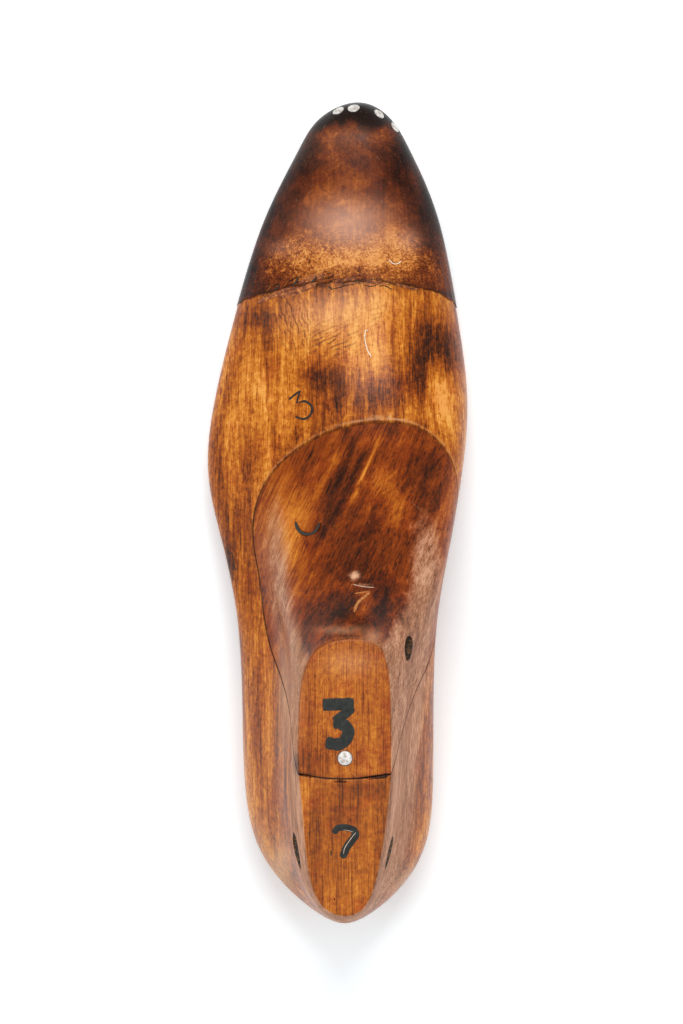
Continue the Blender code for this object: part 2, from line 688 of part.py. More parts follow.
def build():
    """Build the last and its pieces."""
    for obj in list(bpy.data.objects):
        bpy.data.objects.remove(obj)
    parts = new_collection("cobbler_last")
    cutters = new_collection("cutters")
    wood = principled("waxed_wood", (0.50, 0.22, 0.07), 0.38, 0.0)
    block_wood = principled("block_wood", (0.40, 0.17, 0.06), 0.38, 0.0)
    leather = principled("toe_leather", (0.16, 0.06, 0.03), 0.45, 0.0)
    nail_steel = principled("nail_steel", (0.62, 0.60, 0.56), 0.32, 1.0)
    pin_steel = principled("pin_steel", (0.72, 0.70, 0.68), 0.30, 1.0)
    spring_steel = principled("spring_steel", (0.45, 0.45, 0.46), 0.40, 1.0)

    root = bpy.data.objects.new("last_frame", None)
    parts.objects.link(root)
    root.location = (0.0, -HEEL_CENTRE * MM, 0.0)
    slide = bpy.data.objects.new("block_slide", None)
    parts.objects.link(slide)
    place(slide, (PIN_OFFSET, PIN_STATION, CONE_HEIGHT), parent=root)

    skin = Skin()
    whole = turned_last(skin)
    wall = BVHTree.FromBMesh(whole)
    block_mesh = whole.copy()
    body = mesh_object("last_body", whole, parts, wood)
    body.parent = root
    bmesh.ops.translate(block_mesh, vec=(-PIN_OFFSET, -PIN_STATION, -CONE_HEIGHT), verts=block_mesh.verts)
    block = mesh_object("scoop_block", block_mesh, parts, block_wood)
    block.parent = slide

    over_body = saw_solid("saw_over_last", -0.5 * SEAM_GAP, cutters)
    over_block = saw_solid("saw_over_block", 0.5 * SEAM_GAP, cutters)
    for cutter in (over_body, over_block):
        cutter.parent = root
    cut(body, over_body)
    cut(block, over_block, "INTERSECT")

    heel_hook = cross_hole("cut_heel_hook", HEEL_HOOK_DIAMETER, SEAT_WIDTH, cutters)
    heel_hook.location = Vector((0.0, HEEL_HOOK_STATION, CONE_HEIGHT - HEEL_HOOK_DROP)) * MM
    heel_hook.parent = root
    cut(body, heel_hook)
    hook_line = Vector((REACH * 2.0, BLOCK_HOOK_STATION, CONE_HEIGHT - BLOCK_HOOK_DROP))
    mouth = wall.ray_cast(hook_line, Vector((-1.0, 0.0, 0.0)))[0]
    block_hook = cross_hole("cut_block_hook", BLOCK_HOOK_DIAMETER, 2.0 * BLOCK_HOOK_DEPTH, cutters)
    block_hook.location = mouth * MM
    block_hook.parent = root
    cut(block, block_hook)

    spot = (PIN_OFFSET, PIN_STATION, CONE_HEIGHT)
    pin = block_pin(parts, pin_steel)
    pin.parent = slide
    sleeve, slit = pin_sleeve(parts, cutters, spring_steel)
    place(sleeve, spot, parent=root)
    place(slit, spot, parent=root)
    cut(sleeve, slit)
    block_bore, last_bore = pin_bore(cutters)
    place(block_bore, spot, parent=root)
    place(last_bore, spot, parent=root)
    cut(block, block_bore)
    cut(body, last_bore)

    leather_mesh = toe_leather(skin)
    surface = BVHTree.FromBMesh(leather_mesh)
    cover = mesh_object("toe_cover", leather_mesh, parts, leather)
    cover.parent = root
    for name, (across_toe, from_tip) in NAIL_SPOTS.items():
        above = Vector((across_toe, LAST_LENGTH - from_tip, CONE_HEIGHT))
        spot, outward = surface.ray_cast(above, Vector((0.0, 0.0, -1.0)))[:2]
        place(nail(name, parts, nail_steel), spot, outward, root)
        hole = place(nail_hole("cut_" + name, cutters), spot, outward, root)
        cut(cover, hole)
        cut(body, hole)


build()
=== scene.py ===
"""Looks of a wooden cobbler's last for a left foot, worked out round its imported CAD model.

Lengths are in millimetres in the CAD model's frame, +Y from heel to toe, +X towards the medial
side and +Z up, until a mesh is written in metres.
"""

import json
import logging
import math
from dataclasses import dataclass
from enum import Enum
from typing import Callable, Optional

import bmesh
import bpy
import numpy as np
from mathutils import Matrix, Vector
from mathutils.bvhtree import BVHTree

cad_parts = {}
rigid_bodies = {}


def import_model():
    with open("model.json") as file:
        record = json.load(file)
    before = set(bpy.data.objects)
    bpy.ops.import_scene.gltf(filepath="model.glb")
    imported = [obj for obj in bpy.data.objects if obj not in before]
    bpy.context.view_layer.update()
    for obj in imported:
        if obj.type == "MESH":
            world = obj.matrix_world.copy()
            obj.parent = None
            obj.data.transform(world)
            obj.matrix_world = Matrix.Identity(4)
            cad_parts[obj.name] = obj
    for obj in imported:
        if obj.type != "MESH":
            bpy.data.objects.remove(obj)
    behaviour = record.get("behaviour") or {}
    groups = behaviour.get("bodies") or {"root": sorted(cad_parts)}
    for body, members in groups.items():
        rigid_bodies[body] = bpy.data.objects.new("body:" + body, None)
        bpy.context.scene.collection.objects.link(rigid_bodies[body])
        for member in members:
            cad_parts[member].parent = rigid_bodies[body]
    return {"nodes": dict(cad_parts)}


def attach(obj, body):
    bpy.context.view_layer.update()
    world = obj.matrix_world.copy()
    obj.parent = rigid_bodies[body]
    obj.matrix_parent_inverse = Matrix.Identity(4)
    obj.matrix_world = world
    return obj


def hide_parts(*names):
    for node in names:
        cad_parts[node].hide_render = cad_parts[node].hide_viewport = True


for leftover in list(bpy.data.objects):
    bpy.data.objects.remove(leftover)
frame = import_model()

Array = np.ndarray
Material = bpy.types.Material
Node = bpy.types.Node
Piece = bpy.types.Object
Socket = bpy.types.NodeSocket
Sockets = bpy.types.bpy_prop_collection
Tree = bpy.types.NodeTree

MM = 0.001
PLATE_HEIGHT = 98.0
RIDGE = 4.0
MERGE = 0.0005
ARC_STEPS = (0.25, 0.5, 0.75)
BORDER_ROWS = len(ARC_STEPS) + 4
# How far from the plate's rim the grid's rows lose the bow of the saw cut
BOW_FADE = 20.0
# How finely a curve is sampled to share out its length, and the plate's rim to follow it
FINE = 3000
RIM_SAMPLES = 400
# The runs among which the plate's corner is looked for: from, to, how many
CORNER_RUNS = (30.0, 100.0, 1400)
# The lowest climb tried on a rib, how many are tried, and how often the step between two is halved
LOWEST_TRIAL = 0.2
TRIALS = 100
HALVINGS = 22
# How many radii from a rounded edge the rows lie that keep its bend from spreading
SUPPORT = 1.6
# The climbs at which the leather's rear edge is read off: from, to, how many
REAR_CLIMBS = (2.0, RIDGE, 90)

log = logging.getLogger("last")


class Side(Enum):
    """The two sides of the last, by the sign of the measure that runs forward along them."""

    LATERAL = 1
    MEDIAL = -1


@dataclass(frozen=True)
class Rib:
    """A line over the skin from the feather edge to the ridge; pairs are lateral then medial."""

    outline: tuple
    flank: tuple
    shoulder: tuple
    ridge: tuple
    tuck: tuple
    edge: tuple
    crown: float


# From the middle of the heel's back to the tip of the toe, the same ribs as the CAD model has
RIBS = (
    Rib(outline=((0.5, -31.5, 24), (0.5, -31.5, 24)),
        flank=((0.5, -27.4, 58.8), (0.5, -27.4, 58.8)),
        shoulder=((0.5, -18.8, 98), (0.5, -18.8, 98)),
        ridge=(0.5, -2, 132), tuck=(3.4, 3.4), edge=(1.8, 1.8), crown=1.0),
    Rib(outline=((-12.6, -25.8, 24), (13.8, -25.8, 24)),
        flank=((-6.6, -23.8, 58.8), (7.2, -23.8, 58.8)),
        shoulder=((-4.4, -17.5, 98), (5.2, -17.5, 98)),
        ridge=(0.5, 0, 132), tuck=(3.4, 3.4), edge=(1.4, 1.4), crown=1.4),
    Rib(outline=((-29.3, -6.5, 23), (28.4, -6.5, 23)),
        flank=((-17, -7, 58.8), (16.7, -7, 58.8)),
        shoulder=((-10.7, -6.2, 98), (10.8, -6.2, 98)),
        ridge=(0.6, 4, 132), tuck=(4.0, 4.0), edge=(1.0, 1.0), crown=1.6),
    Rib(outline=((-34.3, 18, 22), (31.4, 18, 22)),
        flank=((-20.6, 18, 58.8), (20.9, 18, 58.8)),
        shoulder=((-13.35, 18, 98), (14.55, 18, 98)),
        ridge=(0.7, 20, 132), tuck=(4.0, 4.0), edge=(1.0, 1.0), crown=1.6),
    Rib(outline=((-36.03, 66, 24), (31.57, 66, 36)),
        flank=((-22.4, 65, 49), (26.2, 66, 61.74)),
        shoulder=((-12.85, 59.5, 96.5), (14.15, 60.5, 98)),
        ridge=(1.5, 55, 127), tuck=(5.5, 11.6), edge=(8.5, 9.5), crown=1.0),
    Rib(outline=((-37.98, 81, 24), (33.02, 80, 38)),
        flank=((-27, 80, 38.5), (30, 80, 58)),
        shoulder=((-14, 78, 76), (18.5, 78, 78)),
        ridge=(4.5, 74.6, 89), tuck=(6.5, 11.5), edge=(8.0, 9.0), crown=1.0),
    Rib(outline=((-42.64, 101, 20), (37.06, 101, 34.5)),
        flank=((-30.2, 100, 36), (36.2, 101, 45.5)),
        shoulder=((-15.5, 99, 58), (24.5, 99, 61)),
        ridge=(9, 98, 66.5), tuck=(6.0, 10.0), edge=(5.1, 5.95), crown=1.2),
    Rib(outline=((-47.4, 131, 15), (43.4, 140, 18)),
        flank=((-31, 131, 31.5), (39.8, 139, 32)),
        shoulder=((-14.5, 131, 40.3), (28, 135, 42.3)),
        ridge=(14.5, 132, 45.5), tuck=(4.4, 4.4), edge=(1.2, 1.2), crown=1.6),
    Rib(outline=((-37.02, 182.5, 13), (39.78, 182, 13)),
        flank=((-28.5, 185.5, 25.3), (33.5, 185.5, 25.8)),
        shoulder=((-12.5, 188, 31.8), (22, 188, 31.4)),
        ridge=(9.5, 189.5, 33.6), tuck=(3.0, 2.6), edge=(1.995, 1.995), crown=1.0),
    Rib(outline=((-26.31, 215.5, 15), (32.69, 215.5, 15)),
        flank=((-19.5, 215.5, 25), (27, 215.5, 25)),
        shoulder=((-6, 215.5, 30.5), (17.5, 215.5, 30.5)),
        ridge=(7, 215.5, 31.3), tuck=(3.0, 2.0), edge=(6.3, 6.3), crown=0.8),
    Rib(outline=((-15.4, 237, 17), (23.3, 237, 17)),
        flank=((-11.8, 236.2, 24.6), (20.2, 236.2, 24.6)),
        shoulder=((-2, 233.5, 29.5), (13.8, 233.5, 29.5)),
        ridge=(6.6, 228, 30.9), tuck=(2.4, 2.0), edge=(9.45, 9.45), crown=0.6),
    Rib(outline=((-8.91, 246.8, 18), (17.29, 246.8, 18)),
        flank=((-5.6, 245.2, 24.8), (14.4, 245.2, 24.8)),
        shoulder=((1.6, 241, 29.2), (11, 241, 29.2)),
        ridge=(6.5, 232, 30.7), tuck=(2.0, 2.0), edge=(10.5, 10.5), crown=0.4),
    Rib(outline=((5.2, 253, 19), (5.2, 253, 19)),
        flank=((5.3, 250.7, 24.9), (5.3, 250.7, 24.9)),
        shoulder=((6.3, 244.5, 29.1), (6.3, 244.5, 29.1)),
        ridge=(6.4, 234, 30.6), tuck=(2.0, 2.0), edge=(11.5, 11.5), crown=0.2),
)
COVER_RIB = 8


def unit(vectors: Array) -> Array:
    """Return the vectors at length one, along the last axis."""
    return vectors / np.maximum(np.linalg.norm(vectors, axis=-1, keepdims=True), 1e-9)


def smooth_step(value: Array) -> Array:
    """Return 0 below 0, 1 above 1, and the cubic 3v^2 - 2v^3 between them."""
    value = np.clip(value, 0.0, 1.0)
    return value * value * (3.0 - 2.0 * value)


def soft_min(a: Array, b: Array, blend: float) -> Array:
    """Return the smaller of two surfaces, rounded over a width where they meet.

    The formula is half of (a + b) less the root of ((a - b)^2 + blend^2).
    """
    return 0.5 * (a + b - np.sqrt((a - b) ** 2 + blend**2))


def hermite(t: Array, start: Array, leave: Array, end: Array, arrive: Array) -> Array:
    """Return points on a cubic from start to end that leaves and arrives along two tangents.

    The formula is (2t^3 - 3t^2 + 1) start + (t^3 - 2t^2 + t) leave + (3t^2 - 2t^3) end +
    (t^3 - t^2) arrive.
    """
    leaving = (2 * t**3 - 3 * t**2 + 1) * start + (t**3 - 2 * t**2 + t) * leave
    return leaving + ((3 * t**2 - 2 * t**3) * end + (t**3 - t**2) * arrive)


def bends(start: Array, corner: Array, end: Array) -> list:
    """Return rows on the curve (1-t)^2 start + 2t(1-t) corner + t^2 end, at the arc's steps."""
    return [(1 - t) ** 2 * start + 2 * t * (1 - t) * corner + t**2 * end for t in ARC_STEPS]


def added_up(steps: Array) -> Array:
    """Return 0, and then the sum of the steps so far."""
    return np.concatenate([[0.0], np.cumsum(steps)])


def strides(points: Array) -> Array:
    """Return the lengths between neighbours in a line of points."""
    return np.linalg.norm(np.diff(points, axis=0), axis=1)


def travelled(points: Array) -> Array:
    """Return the length along a line of points up to each of them."""
    return added_up(strides(points))


def between(first: Array, last: Array, share: Array) -> Array:
    """Return one row for each pair of ends, at shares of the way from first to last."""
    return first[:, None] + (last - first)[:, None] * share


def even_shares(count: int) -> Array:
    """Return evenly spaced shares between 0 and 1, without either, shaped for points."""
    return (np.arange(1, count + 1) / (count + 1.0))[None, :, None]


def then_ridge(climb: Array, count: int) -> Array:
    """Return climbs and then the ridge's, a number of times."""
    return np.concatenate([climb, np.full(count, RIDGE)])


def then_line(rows: Array, line: Array) -> Array:
    """Return rows and then one more for each point of a line, the point repeated."""
    return np.concatenate([rows, np.repeat(line[:, None], rows.shape[1], axis=1)])


def join(left: Array, right: Array) -> None:
    """Move both arrays' points to the middle between them, so that they meet."""
    middle = 0.5 * (left + right)
    left[...] = middle
    right[...] = middle


def graded(length: float, coarse: float, spots: tuple = ()) -> Array:
    """Return shares from 0 to 1 of a length, coarsely spaced and finer near some spots.

    Args:
        length: The length to share out.
        coarse: The greatest step.
        spots: Tuples of a place, the step there, and how fast the step grows away from it.

    Returns:
        The increasing shares, with 0 first and 1 last.
    """
    place = np.linspace(0.0, length, FINE)
    step = np.full_like(place, coarse)
    for spot, fine, growth in spots:
        step = np.minimum(step, fine + growth * np.abs(place - spot))
    count = added_up(np.diff(place) * 0.5 * (1 / step[1:] + 1 / step[:-1]))
    whole = max(2, int(round(count[-1])))
    return np.interp(np.linspace(0.0, count[-1], whole + 1), count, place) / length


def wander(place: Array, period: float, seed: int) -> Array:
    """Return a smooth random wave between about -1 and 1 along a measure.

    It is a sum of four octaves of sines whose phases come from a seeded generator, each octave
    with half the period and 0.6 of the height of the one before.
    """
    chance = np.random.default_rng(seed)
    total = np.zeros_like(place)
    for octave in range(4):
        phase = chance.uniform(0.0, 2.0 * math.pi, 2)
        turns = 2.0 * math.pi * place / period * 2.0**octave
        wave = np.sin(turns + phase[0]) + np.sin(1.37 * turns + phase[1])
        total += 0.5 * 0.6**octave * wave
    return total


def closed_spline(knots: Array, values: Array) -> Callable[[Array], Array]:
    """Return the periodic cubic spline through the values as a function of the knots' measure.

    Args:
        knots: The measures of the values, with the whole length round last.
        values: One row for each knot but the last.

    Returns:
        A function from an array of measures to an array of rows.
    """
    values = np.asarray(values, dtype=float).reshape(len(knots) - 1, -1)
    count = len(values)
    step = np.diff(knots)
    here = np.arange(count)
    after = (here + 1) % count
    system = np.zeros((count, count))
    np.add.at(system, (here, here - 1), step[here - 1])
    np.add.at(system, (here, here), 2.0 * (step[here - 1] + step))
    np.add.at(system, (here, after), step)
    ahead = (values[after] - values) / step[:, None]
    behind = (values - values[here - 1]) / step[here - 1][:, None]
    bend = np.linalg.solve(system, 6.0 * (ahead - behind))

    def curve(at: Array) -> Array:
        """Return the spline's row at each measure."""
        at = np.mod(at, knots[-1])
        i = np.clip(np.searchsorted(knots, at, side="right") - 1, 0, count - 1)
        j = (i + 1) % count
        h = step[i][:, None]
        a = (knots[i + 1] - at)[:, None] / h
        b = 1.0 - a
        return a * values[i] + b * values[j] + ((a**3 - a) * bend[i] + (b**3 - b) * bend[j]) * h**2 / 6.0

    return curve


class LastForm:
    """The last's outer surface as a function of run and climb on each side.

    Run is measured along the outline from the middle of the heel's back to the toe's tip. Climb
    is 0 on the feather edge, 1 on the outline, 2 on the flank, 3 on the shoulder and 4 on the ridge.
    """

    def __init__(self, ribs: tuple) -> None:
        """Fit the rails through the ribs, lateral side forward and medial side back."""
        outline = self._round(ribs, "outline")
        half = len(ribs) - 1
        chords = np.linalg.norm(np.roll(outline, -1, axis=0) - outline, axis=1)
        sides = 0.5 * (chords[:half] + chords[half:][::-1])
        self.knots = added_up(np.concatenate([sides, sides[::-1]]))
        self.whole = self.knots[-1]
        self.half = self.knots[half]
        self.outline = closed_spline(self.knots, outline)
        names = ("flank", "shoulder", "tuck", "edge")
        splines = (closed_spline(self.knots, self._round(ribs, name)) for name in names)
        self.flank, self.shoulder, self.tuck, self.edge = splines
        there_and_back = list(ribs) + list(ribs[-2:0:-1])
        self.ridge = closed_spline(self.knots, [rib.ridge for rib in there_and_back])
        self.crown = closed_spline(self.knots, [rib.crown for rib in there_and_back])

    @staticmethod
    def _round(ribs: tuple, name: str) -> Array:
        """Return a field of the ribs, once round the last."""
        rows = [getattr(rib, name) for rib in ribs]
        return np.array([row[0] for row in rows] + [row[1] for row in rows[-2:0:-1]], dtype=float)

    def measure(self, side: Side, run: Array) -> Array:
        """Return the measure once round the last of a run along one side."""
        return run if side is Side.LATERAL else self.whole - run

    def feather(self, at: Array) -> Array:
        """Return the feather edge: the outline drawn in by the tuck, at the edge's height."""
        ahead = self.outline(at + 0.5) - self.outline(at - 0.5)
        inward = unit(np.stack([ahead[:, 1], -ahead[:, 0]], axis=1))
        plan = self.outline(at)[:, :2] + inward * self.tuck(at)
        return np.concatenate([plan, self.edge(at)], axis=1)

    def ridge_slope(self, at: Array) -> Array:
        """Return the direction in which each rib meets the ridge, level across it."""
        reach = np.minimum(at, self.whole - at)
        low = np.clip(reach - 1.0, 0.0, self.half)
        high = np.clip(reach + 1.0, 0.0, self.half)
        along = self.ridge(high) - self.ridge(low)
        climb = along[:, 2] / np.maximum(along[:, 1], 0.5)
        towards = self.ridge(at) - self.outline(at)
        return unit(np.stack([towards[:, 0], towards[:, 1], towards[:, 1] * climb], axis=1))

    def skin(self, side: Side, run: Array, climb: Array) -> Array:
        """Return the points of the skin at each run and climb.

        Each rib is a Hermite curve through its five points. A slope inside the rib is the mean of
        the chords on both sides, each weighted by the other's length, and the span's length
        times the slope is the tangent.
        """
        run, climb = np.broadcast_arrays(np.asarray(run, float), np.asarray(climb, float))
        at = np.mod(self.measure(side, run).ravel(), self.whole)
        rails = [self.feather(at), self.outline(at), self.flank(at), self.shoulder(at), self.ridge(at)]
        points = np.stack(rails, axis=1)
        chords = np.diff(points, axis=1)
        spans = np.linalg.norm(chords, axis=2, keepdims=True)
        rises = chords / spans
        inner = (rises[:, :-1] * spans[:, 1:] + rises[:, 1:] * spans[:, :-1]) / (spans[:, 1:] + spans[:, :-1])
        first = 1.5 * rises[:, :1] - 0.5 * inner[:, :1]
        slopes = np.concatenate([first, inner, self.ridge_slope(at)[:, None]], axis=1)
        height = np.clip(climb.ravel(), 0.0, RIDGE)
        span = np.minimum(height.astype(int), 3)
        t = (height - span)[:, None]
        row = np.arange(len(at))
        leave = spans[row, span] * slopes[row, span]
        arrive = spans[row, span] * slopes[row, span + 1]
        place = hermite(t, points[row, span], leave, points[row, span + 1], arrive)
        return place.reshape(*run.shape, 3)

    def slopes(self, side: Side, run: Array, climb: Array) -> tuple[Array, Array]:
        """Return how the skin's point moves with run and with climb."""
        step = 0.25
        along = (self.skin(side, run + step, climb) - self.skin(side, run - step, climb)) / (2 * step)
        low = np.clip(climb - 0.02, 0.0, RIDGE)
        high = np.clip(climb + 0.02, 0.0, RIDGE)
        up = (self.skin(side, run, high) - self.skin(side, run, low)) / (high - low)[..., None]
        return along, up

    def outward(self, side: Side, run: Array, climb: Array) -> Array:
        """Return the unit vectors square to the skin that point out of the last."""
        along, up = self.slopes(side, run, climb)
        return unit(np.cross(up, along) * side.value)

    def beside(self, side: Side, run: Array, climb: Array, distance: Array) -> tuple:
        """Return run and climb of a line moved over the skin, square to itself.

        Args:
            side: The side that the line lies on.
            run: The line's runs, in order from the heel forward.
            climb: The line's climbs.
            distance: How far each point moves, down the skin where it is positive.

        Returns:
            The runs and climbs of the moved line.
        """
        tangent = unit(np.gradient(self.skin(side, run, climb), axis=0))
        along, up = self.slopes(side, run, climb)
        away = -unit(np.cross(np.cross(along, up), tangent))
        aa, ab, bb = (along**2).sum(-1), (along * up).sum(-1), (up**2).sum(-1)
        p, q = (away * along).sum(-1), (away * up).sum(-1)
        det = aa * bb - ab**2
        moved_run = run + distance * (bb * p - ab * q) / det
        moved_climb = climb + distance * (aa * q - ab * p) / det
        return moved_run, np.clip(moved_climb, 0.0, RIDGE)

    def first_reach(self, side: Side, run: Array, top: Callable) -> Array:
        """Return the climb at which each rib first meets the surface top(x, y), or the ridge's."""
        trial = np.linspace(LOWEST_TRIAL, RIDGE, TRIALS)
        place = self.skin(side, run[:, None], trial[None, :])
        over = place[..., 2] >= top(place[..., 0], place[..., 1])
        first = np.argmax(over, axis=1)
        low, high = trial[np.maximum(first - 1, 0)], trial[first]
        for _ in range(HALVINGS):
            middle = 0.5 * (low + high)
            place = self.skin(side, run, middle)
            beyond = place[:, 2] >= top(place[:, 0], place[:, 1])
            low, high = np.where(beyond, low, middle), np.where(beyond, middle, high)
        return np.where(over.any(axis=1), high, RIDGE)

    def ridge_meets(self, top: Callable) -> float:
        """Return the last run at which the ridge still lies above the surface top(x, y)."""
        run = np.linspace(0.0, self.half, 2 * FINE)
        ridge = self.ridge(run)
        over = ridge[:, 2] - top(ridge[:, 0], ridge[:, 1])
        last = np.nonzero(over > 0.0)[0][-1]
        share = over[last] / (over[last] - over[last + 1])
        return float(run[last] + share * (run[last + 1] - run[last]))


@dataclass(frozen=True)
class SawCut:
    """The curved saw cut between the last and its scoop block, in the upright plane.

    fall holds steps forward and shares of the drop from plate to bed; front holds steps forward
    and heights over the bed.
    """

    gap: float = 0.4
    station: float = 26.3
    bed: float = 35.5
    rise: float = 1.7
    lead: float = 10.0
    runout: float = 0.35
    fall: tuple = ((7.7, 0.776), (18.7, 0.488), (31.7, 0.232), (46.7, 0.072), (66.7, 0.0))
    front: tuple = ((91.7, 1.5), (116.7, 7.5))
    bow: float = 1.5
    bow_reach: float = 25.0
    plate_width: float = 27.9
    reach: float = 40.0
    steps: int = 12

    def line(self, offset: float) -> Array:
        """Return the cut's points (y, z), Hermite between its knots and moved off by the offset."""
        drop = PLATE_HEIGHT - self.bed
        above = (self.station - self.lead / self.rise, PLATE_HEIGHT + self.lead)
        points = [above, (self.station, PLATE_HEIGHT)]
        points += [(self.station + step, self.bed + drop * share) for step, share in self.fall]
        points += [(self.station + step, self.bed + height) for step, height in self.front]
        points.append((points[-1][0] + self.reach, points[-1][1] + self.reach * self.runout))
        knots = np.array(points)
        slope = np.gradient(knots[:, 1], knots[:, 0])
        t = np.arange(self.steps)[None, :] / self.steps
        step = np.diff(knots[:, 0])[:, None]
        low, high = knots[:-1, 1:], knots[1:, 1:]
        height = hermite(t, low, step * slope[:-1, None], high, step * slope[1:, None])
        fine = np.stack([(knots[:-1, :1] + t * step).ravel(), height.ravel()], axis=1)
        fine = np.concatenate([fine, knots[-1:]])
        tangent = unit(np.gradient(fine, axis=0))
        return fine + offset * np.stack([-tangent[:, 1], tangent[:, 0]], axis=1)

    def across(self, x: Array) -> Array:
        """Return the bow's share across the plate: 1 in its middle, 0 at its sides, a parabola."""
        return np.clip(1.0 - (2.0 * x / self.plate_width) ** 2, 0.0, 1.0)

    def surface(self, offset: float) -> Callable:
        """Return the cut's height as a function of x and y, bowed towards the heel at the plate."""
        line = self.line(offset)

        def height(x: Array, y: Array) -> Array:
            """Return the cut's height at each point seen from above."""
            fade = np.clip(1.0 - (y - self.station) / self.bow_reach, 0.0, 1.0)
            return np.interp(y + self.bow * self.across(x) * fade, line[:, 0], line[:, 1])

        return height


FORM = LastForm(RIBS)
CUT = SawCut()
BODY_CUT = CUT.surface(-0.5 * CUT.gap)
BLOCK_CUT = CUT.surface(0.5 * CUT.gap)


def plate(x: Array, y: Array) -> Array:
    """Return the height of the sawn plate on top of the cone, level everywhere."""
    return np.full(np.broadcast(x, y).shape, PLATE_HEIGHT)


def body_top(x: Array, y: Array) -> Array:
    """Return the height of what is left of the cone: the lower of plate and cut, slightly rounded."""
    return soft_min(plate(x, y), BODY_CUT(x, y), 0.5)


def corner_run(side: Side, cut: Callable) -> float:
    """Return the run at which the plate's rim meets the cut on one side."""
    run = np.linspace(*CORNER_RUNS)
    place = FORM.skin(side, run, FORM.first_reach(side, run, plate))
    below = cut(place[:, 0], place[:, 1]) < PLATE_HEIGHT
    return float(run[np.argmax(below)])


def traced(side: Side, runs: Array, top: Callable, shares: Array, peak: bool) -> tuple:
    """Return where the skin meets a surface, at shares of the length of that line.

    Args:
        side: The side of the last.
        runs: Finely spaced runs along the line.
        top: The surface, a height as a function of x and y.
        shares: Shares of the line's length to put points at.
        peak: Whether the line ends on the ridge.

    Returns:
        The runs and climbs of the points.
    """
    climb = FORM.first_reach(side, runs, top)
    if peak:
        climb[-1] = RIDGE
    length = travelled(FORM.skin(side, runs, climb))
    at = shares * length[-1]
    return np.interp(at, length, runs), np.interp(at, length, climb)


def line_length(side: Side, runs: Array, top: Callable) -> float:
    """Return the length of the line along which the skin meets a surface."""
    place = FORM.skin(side, runs, FORM.first_reach(side, runs, top))
    return float(strides(place).sum())


def stretched_out(shares: Array) -> Array:
    """Return a run of shares stretched so that it goes from 0 to 1."""
    return (shares - shares[0]) / (shares[-1] - shares[0])


def crowding(low: float, high: float, count: int = 700) -> Array:
    """Return runs from low to high that crowd together towards high, as a square does."""
    return high - (high - low) * (1.0 - np.linspace(0.0, 1.0, count)) ** 2


def plan_inward(side: Side, edge: Array) -> Array:
    """Return the level unit vectors square to an edge that point towards the last's middle."""
    tangent = np.gradient(edge, axis=0)
    level = np.stack([tangent[:, 1], -tangent[:, 0], np.zeros(len(edge))], axis=1)
    return unit(level) * side.value


def rounded_edge(
    side: Side, run: Array, climb: Array, radius: Array, lid: Callable, down: float
) -> tuple[Array, Array, Array]:
    """Return seven rows that take the skin over an edge onto a lid.

    With A on the skin a radius short of the edge E, and B on the lid a radius beyond it, the rows
    between lie on the quadratic Bezier curve (1-t)^2 A + 2t(1-t) E + t^2 B. One more row on each
    side keeps the bend from spreading.

    Args:
        side: The side of the last.
        run: Runs of the edge.
        climb: Climbs of the edge.
        radius: The rounding at each point.
        lid: The lid's height as a function of x and y.
        down: 1 where the skin lies below the lid, -1 where it lies above.

    Returns:
        The runs and climbs of the first row, and the rows from skin to lid.
    """
    edge = FORM.skin(side, run, climb)
    inward = plan_inward(side, edge)
    support = SUPPORT * radius
    far_run, far_climb = FORM.beside(side, run, climb, support * down)
    near_run, near_climb = FORM.beside(side, run, climb, radius * down)
    start = FORM.skin(side, near_run, near_climb)
    end = edge + inward * radius[:, None]
    end[:, 2] = lid(end[:, 0], end[:, 1])
    beyond = edge + inward * support[:, None]
    beyond[:, 2] = lid(beyond[:, 0], beyond[:, 1])
    rows = [FORM.skin(side, far_run, far_climb), start, *bends(start, edge, end), end, beyond]
    return far_run, far_climb, np.stack(rows, axis=1)


def across_rows(lateral: Array, medial: Array, count: int, bow: Array, lid: Callable) -> Array:
    """Return rows straight across from one border to the other, laid on a lid.

    Args:
        lateral: The lateral border's points.
        medial: The medial border's points.
        count: How many points each row has between the borders.
        bow: How much of the saw cut's bow each row has.
        lid: The lid's height as a function of x and y.

    Returns:
        The points between the borders, row by row.
    """
    place = between(lateral, medial, even_shares(count))
    place[..., 1] -= bow[:, None] * CUT.bow * CUT.across(place[..., 0])
    place[..., 2] = lid(place[..., 0], place[..., 1])
    return place


def ring_faces(rings: int, rows: int, closed: bool = True, gap: Optional[tuple] = None) -> Array:
    """Return the quads of a grid numbered ring by ring.

    Args:
        rings: How many rings the grid has.
        rows: How many points each ring has.
        closed: Whether each ring's last point joins its first.
        gap: Rings from the first number on have no faces from the second row to the third.

    Returns:
        The vertex numbers, four to a face.
    """
    ring, row = np.meshgrid(np.arange(rings - 1), np.arange(rows if closed else rows - 1), indexing="ij")
    keep = np.ones(ring.shape, bool)
    if gap is not None:
        keep = ~((ring >= gap[0]) & (row >= gap[1]) & (row < gap[2]))
    start, row = ring[keep] * rows, row[keep]
    after = (row + 1) % rows
    return np.stack([start + row, start + after, start + rows + after, start + rows + row], axis=1)


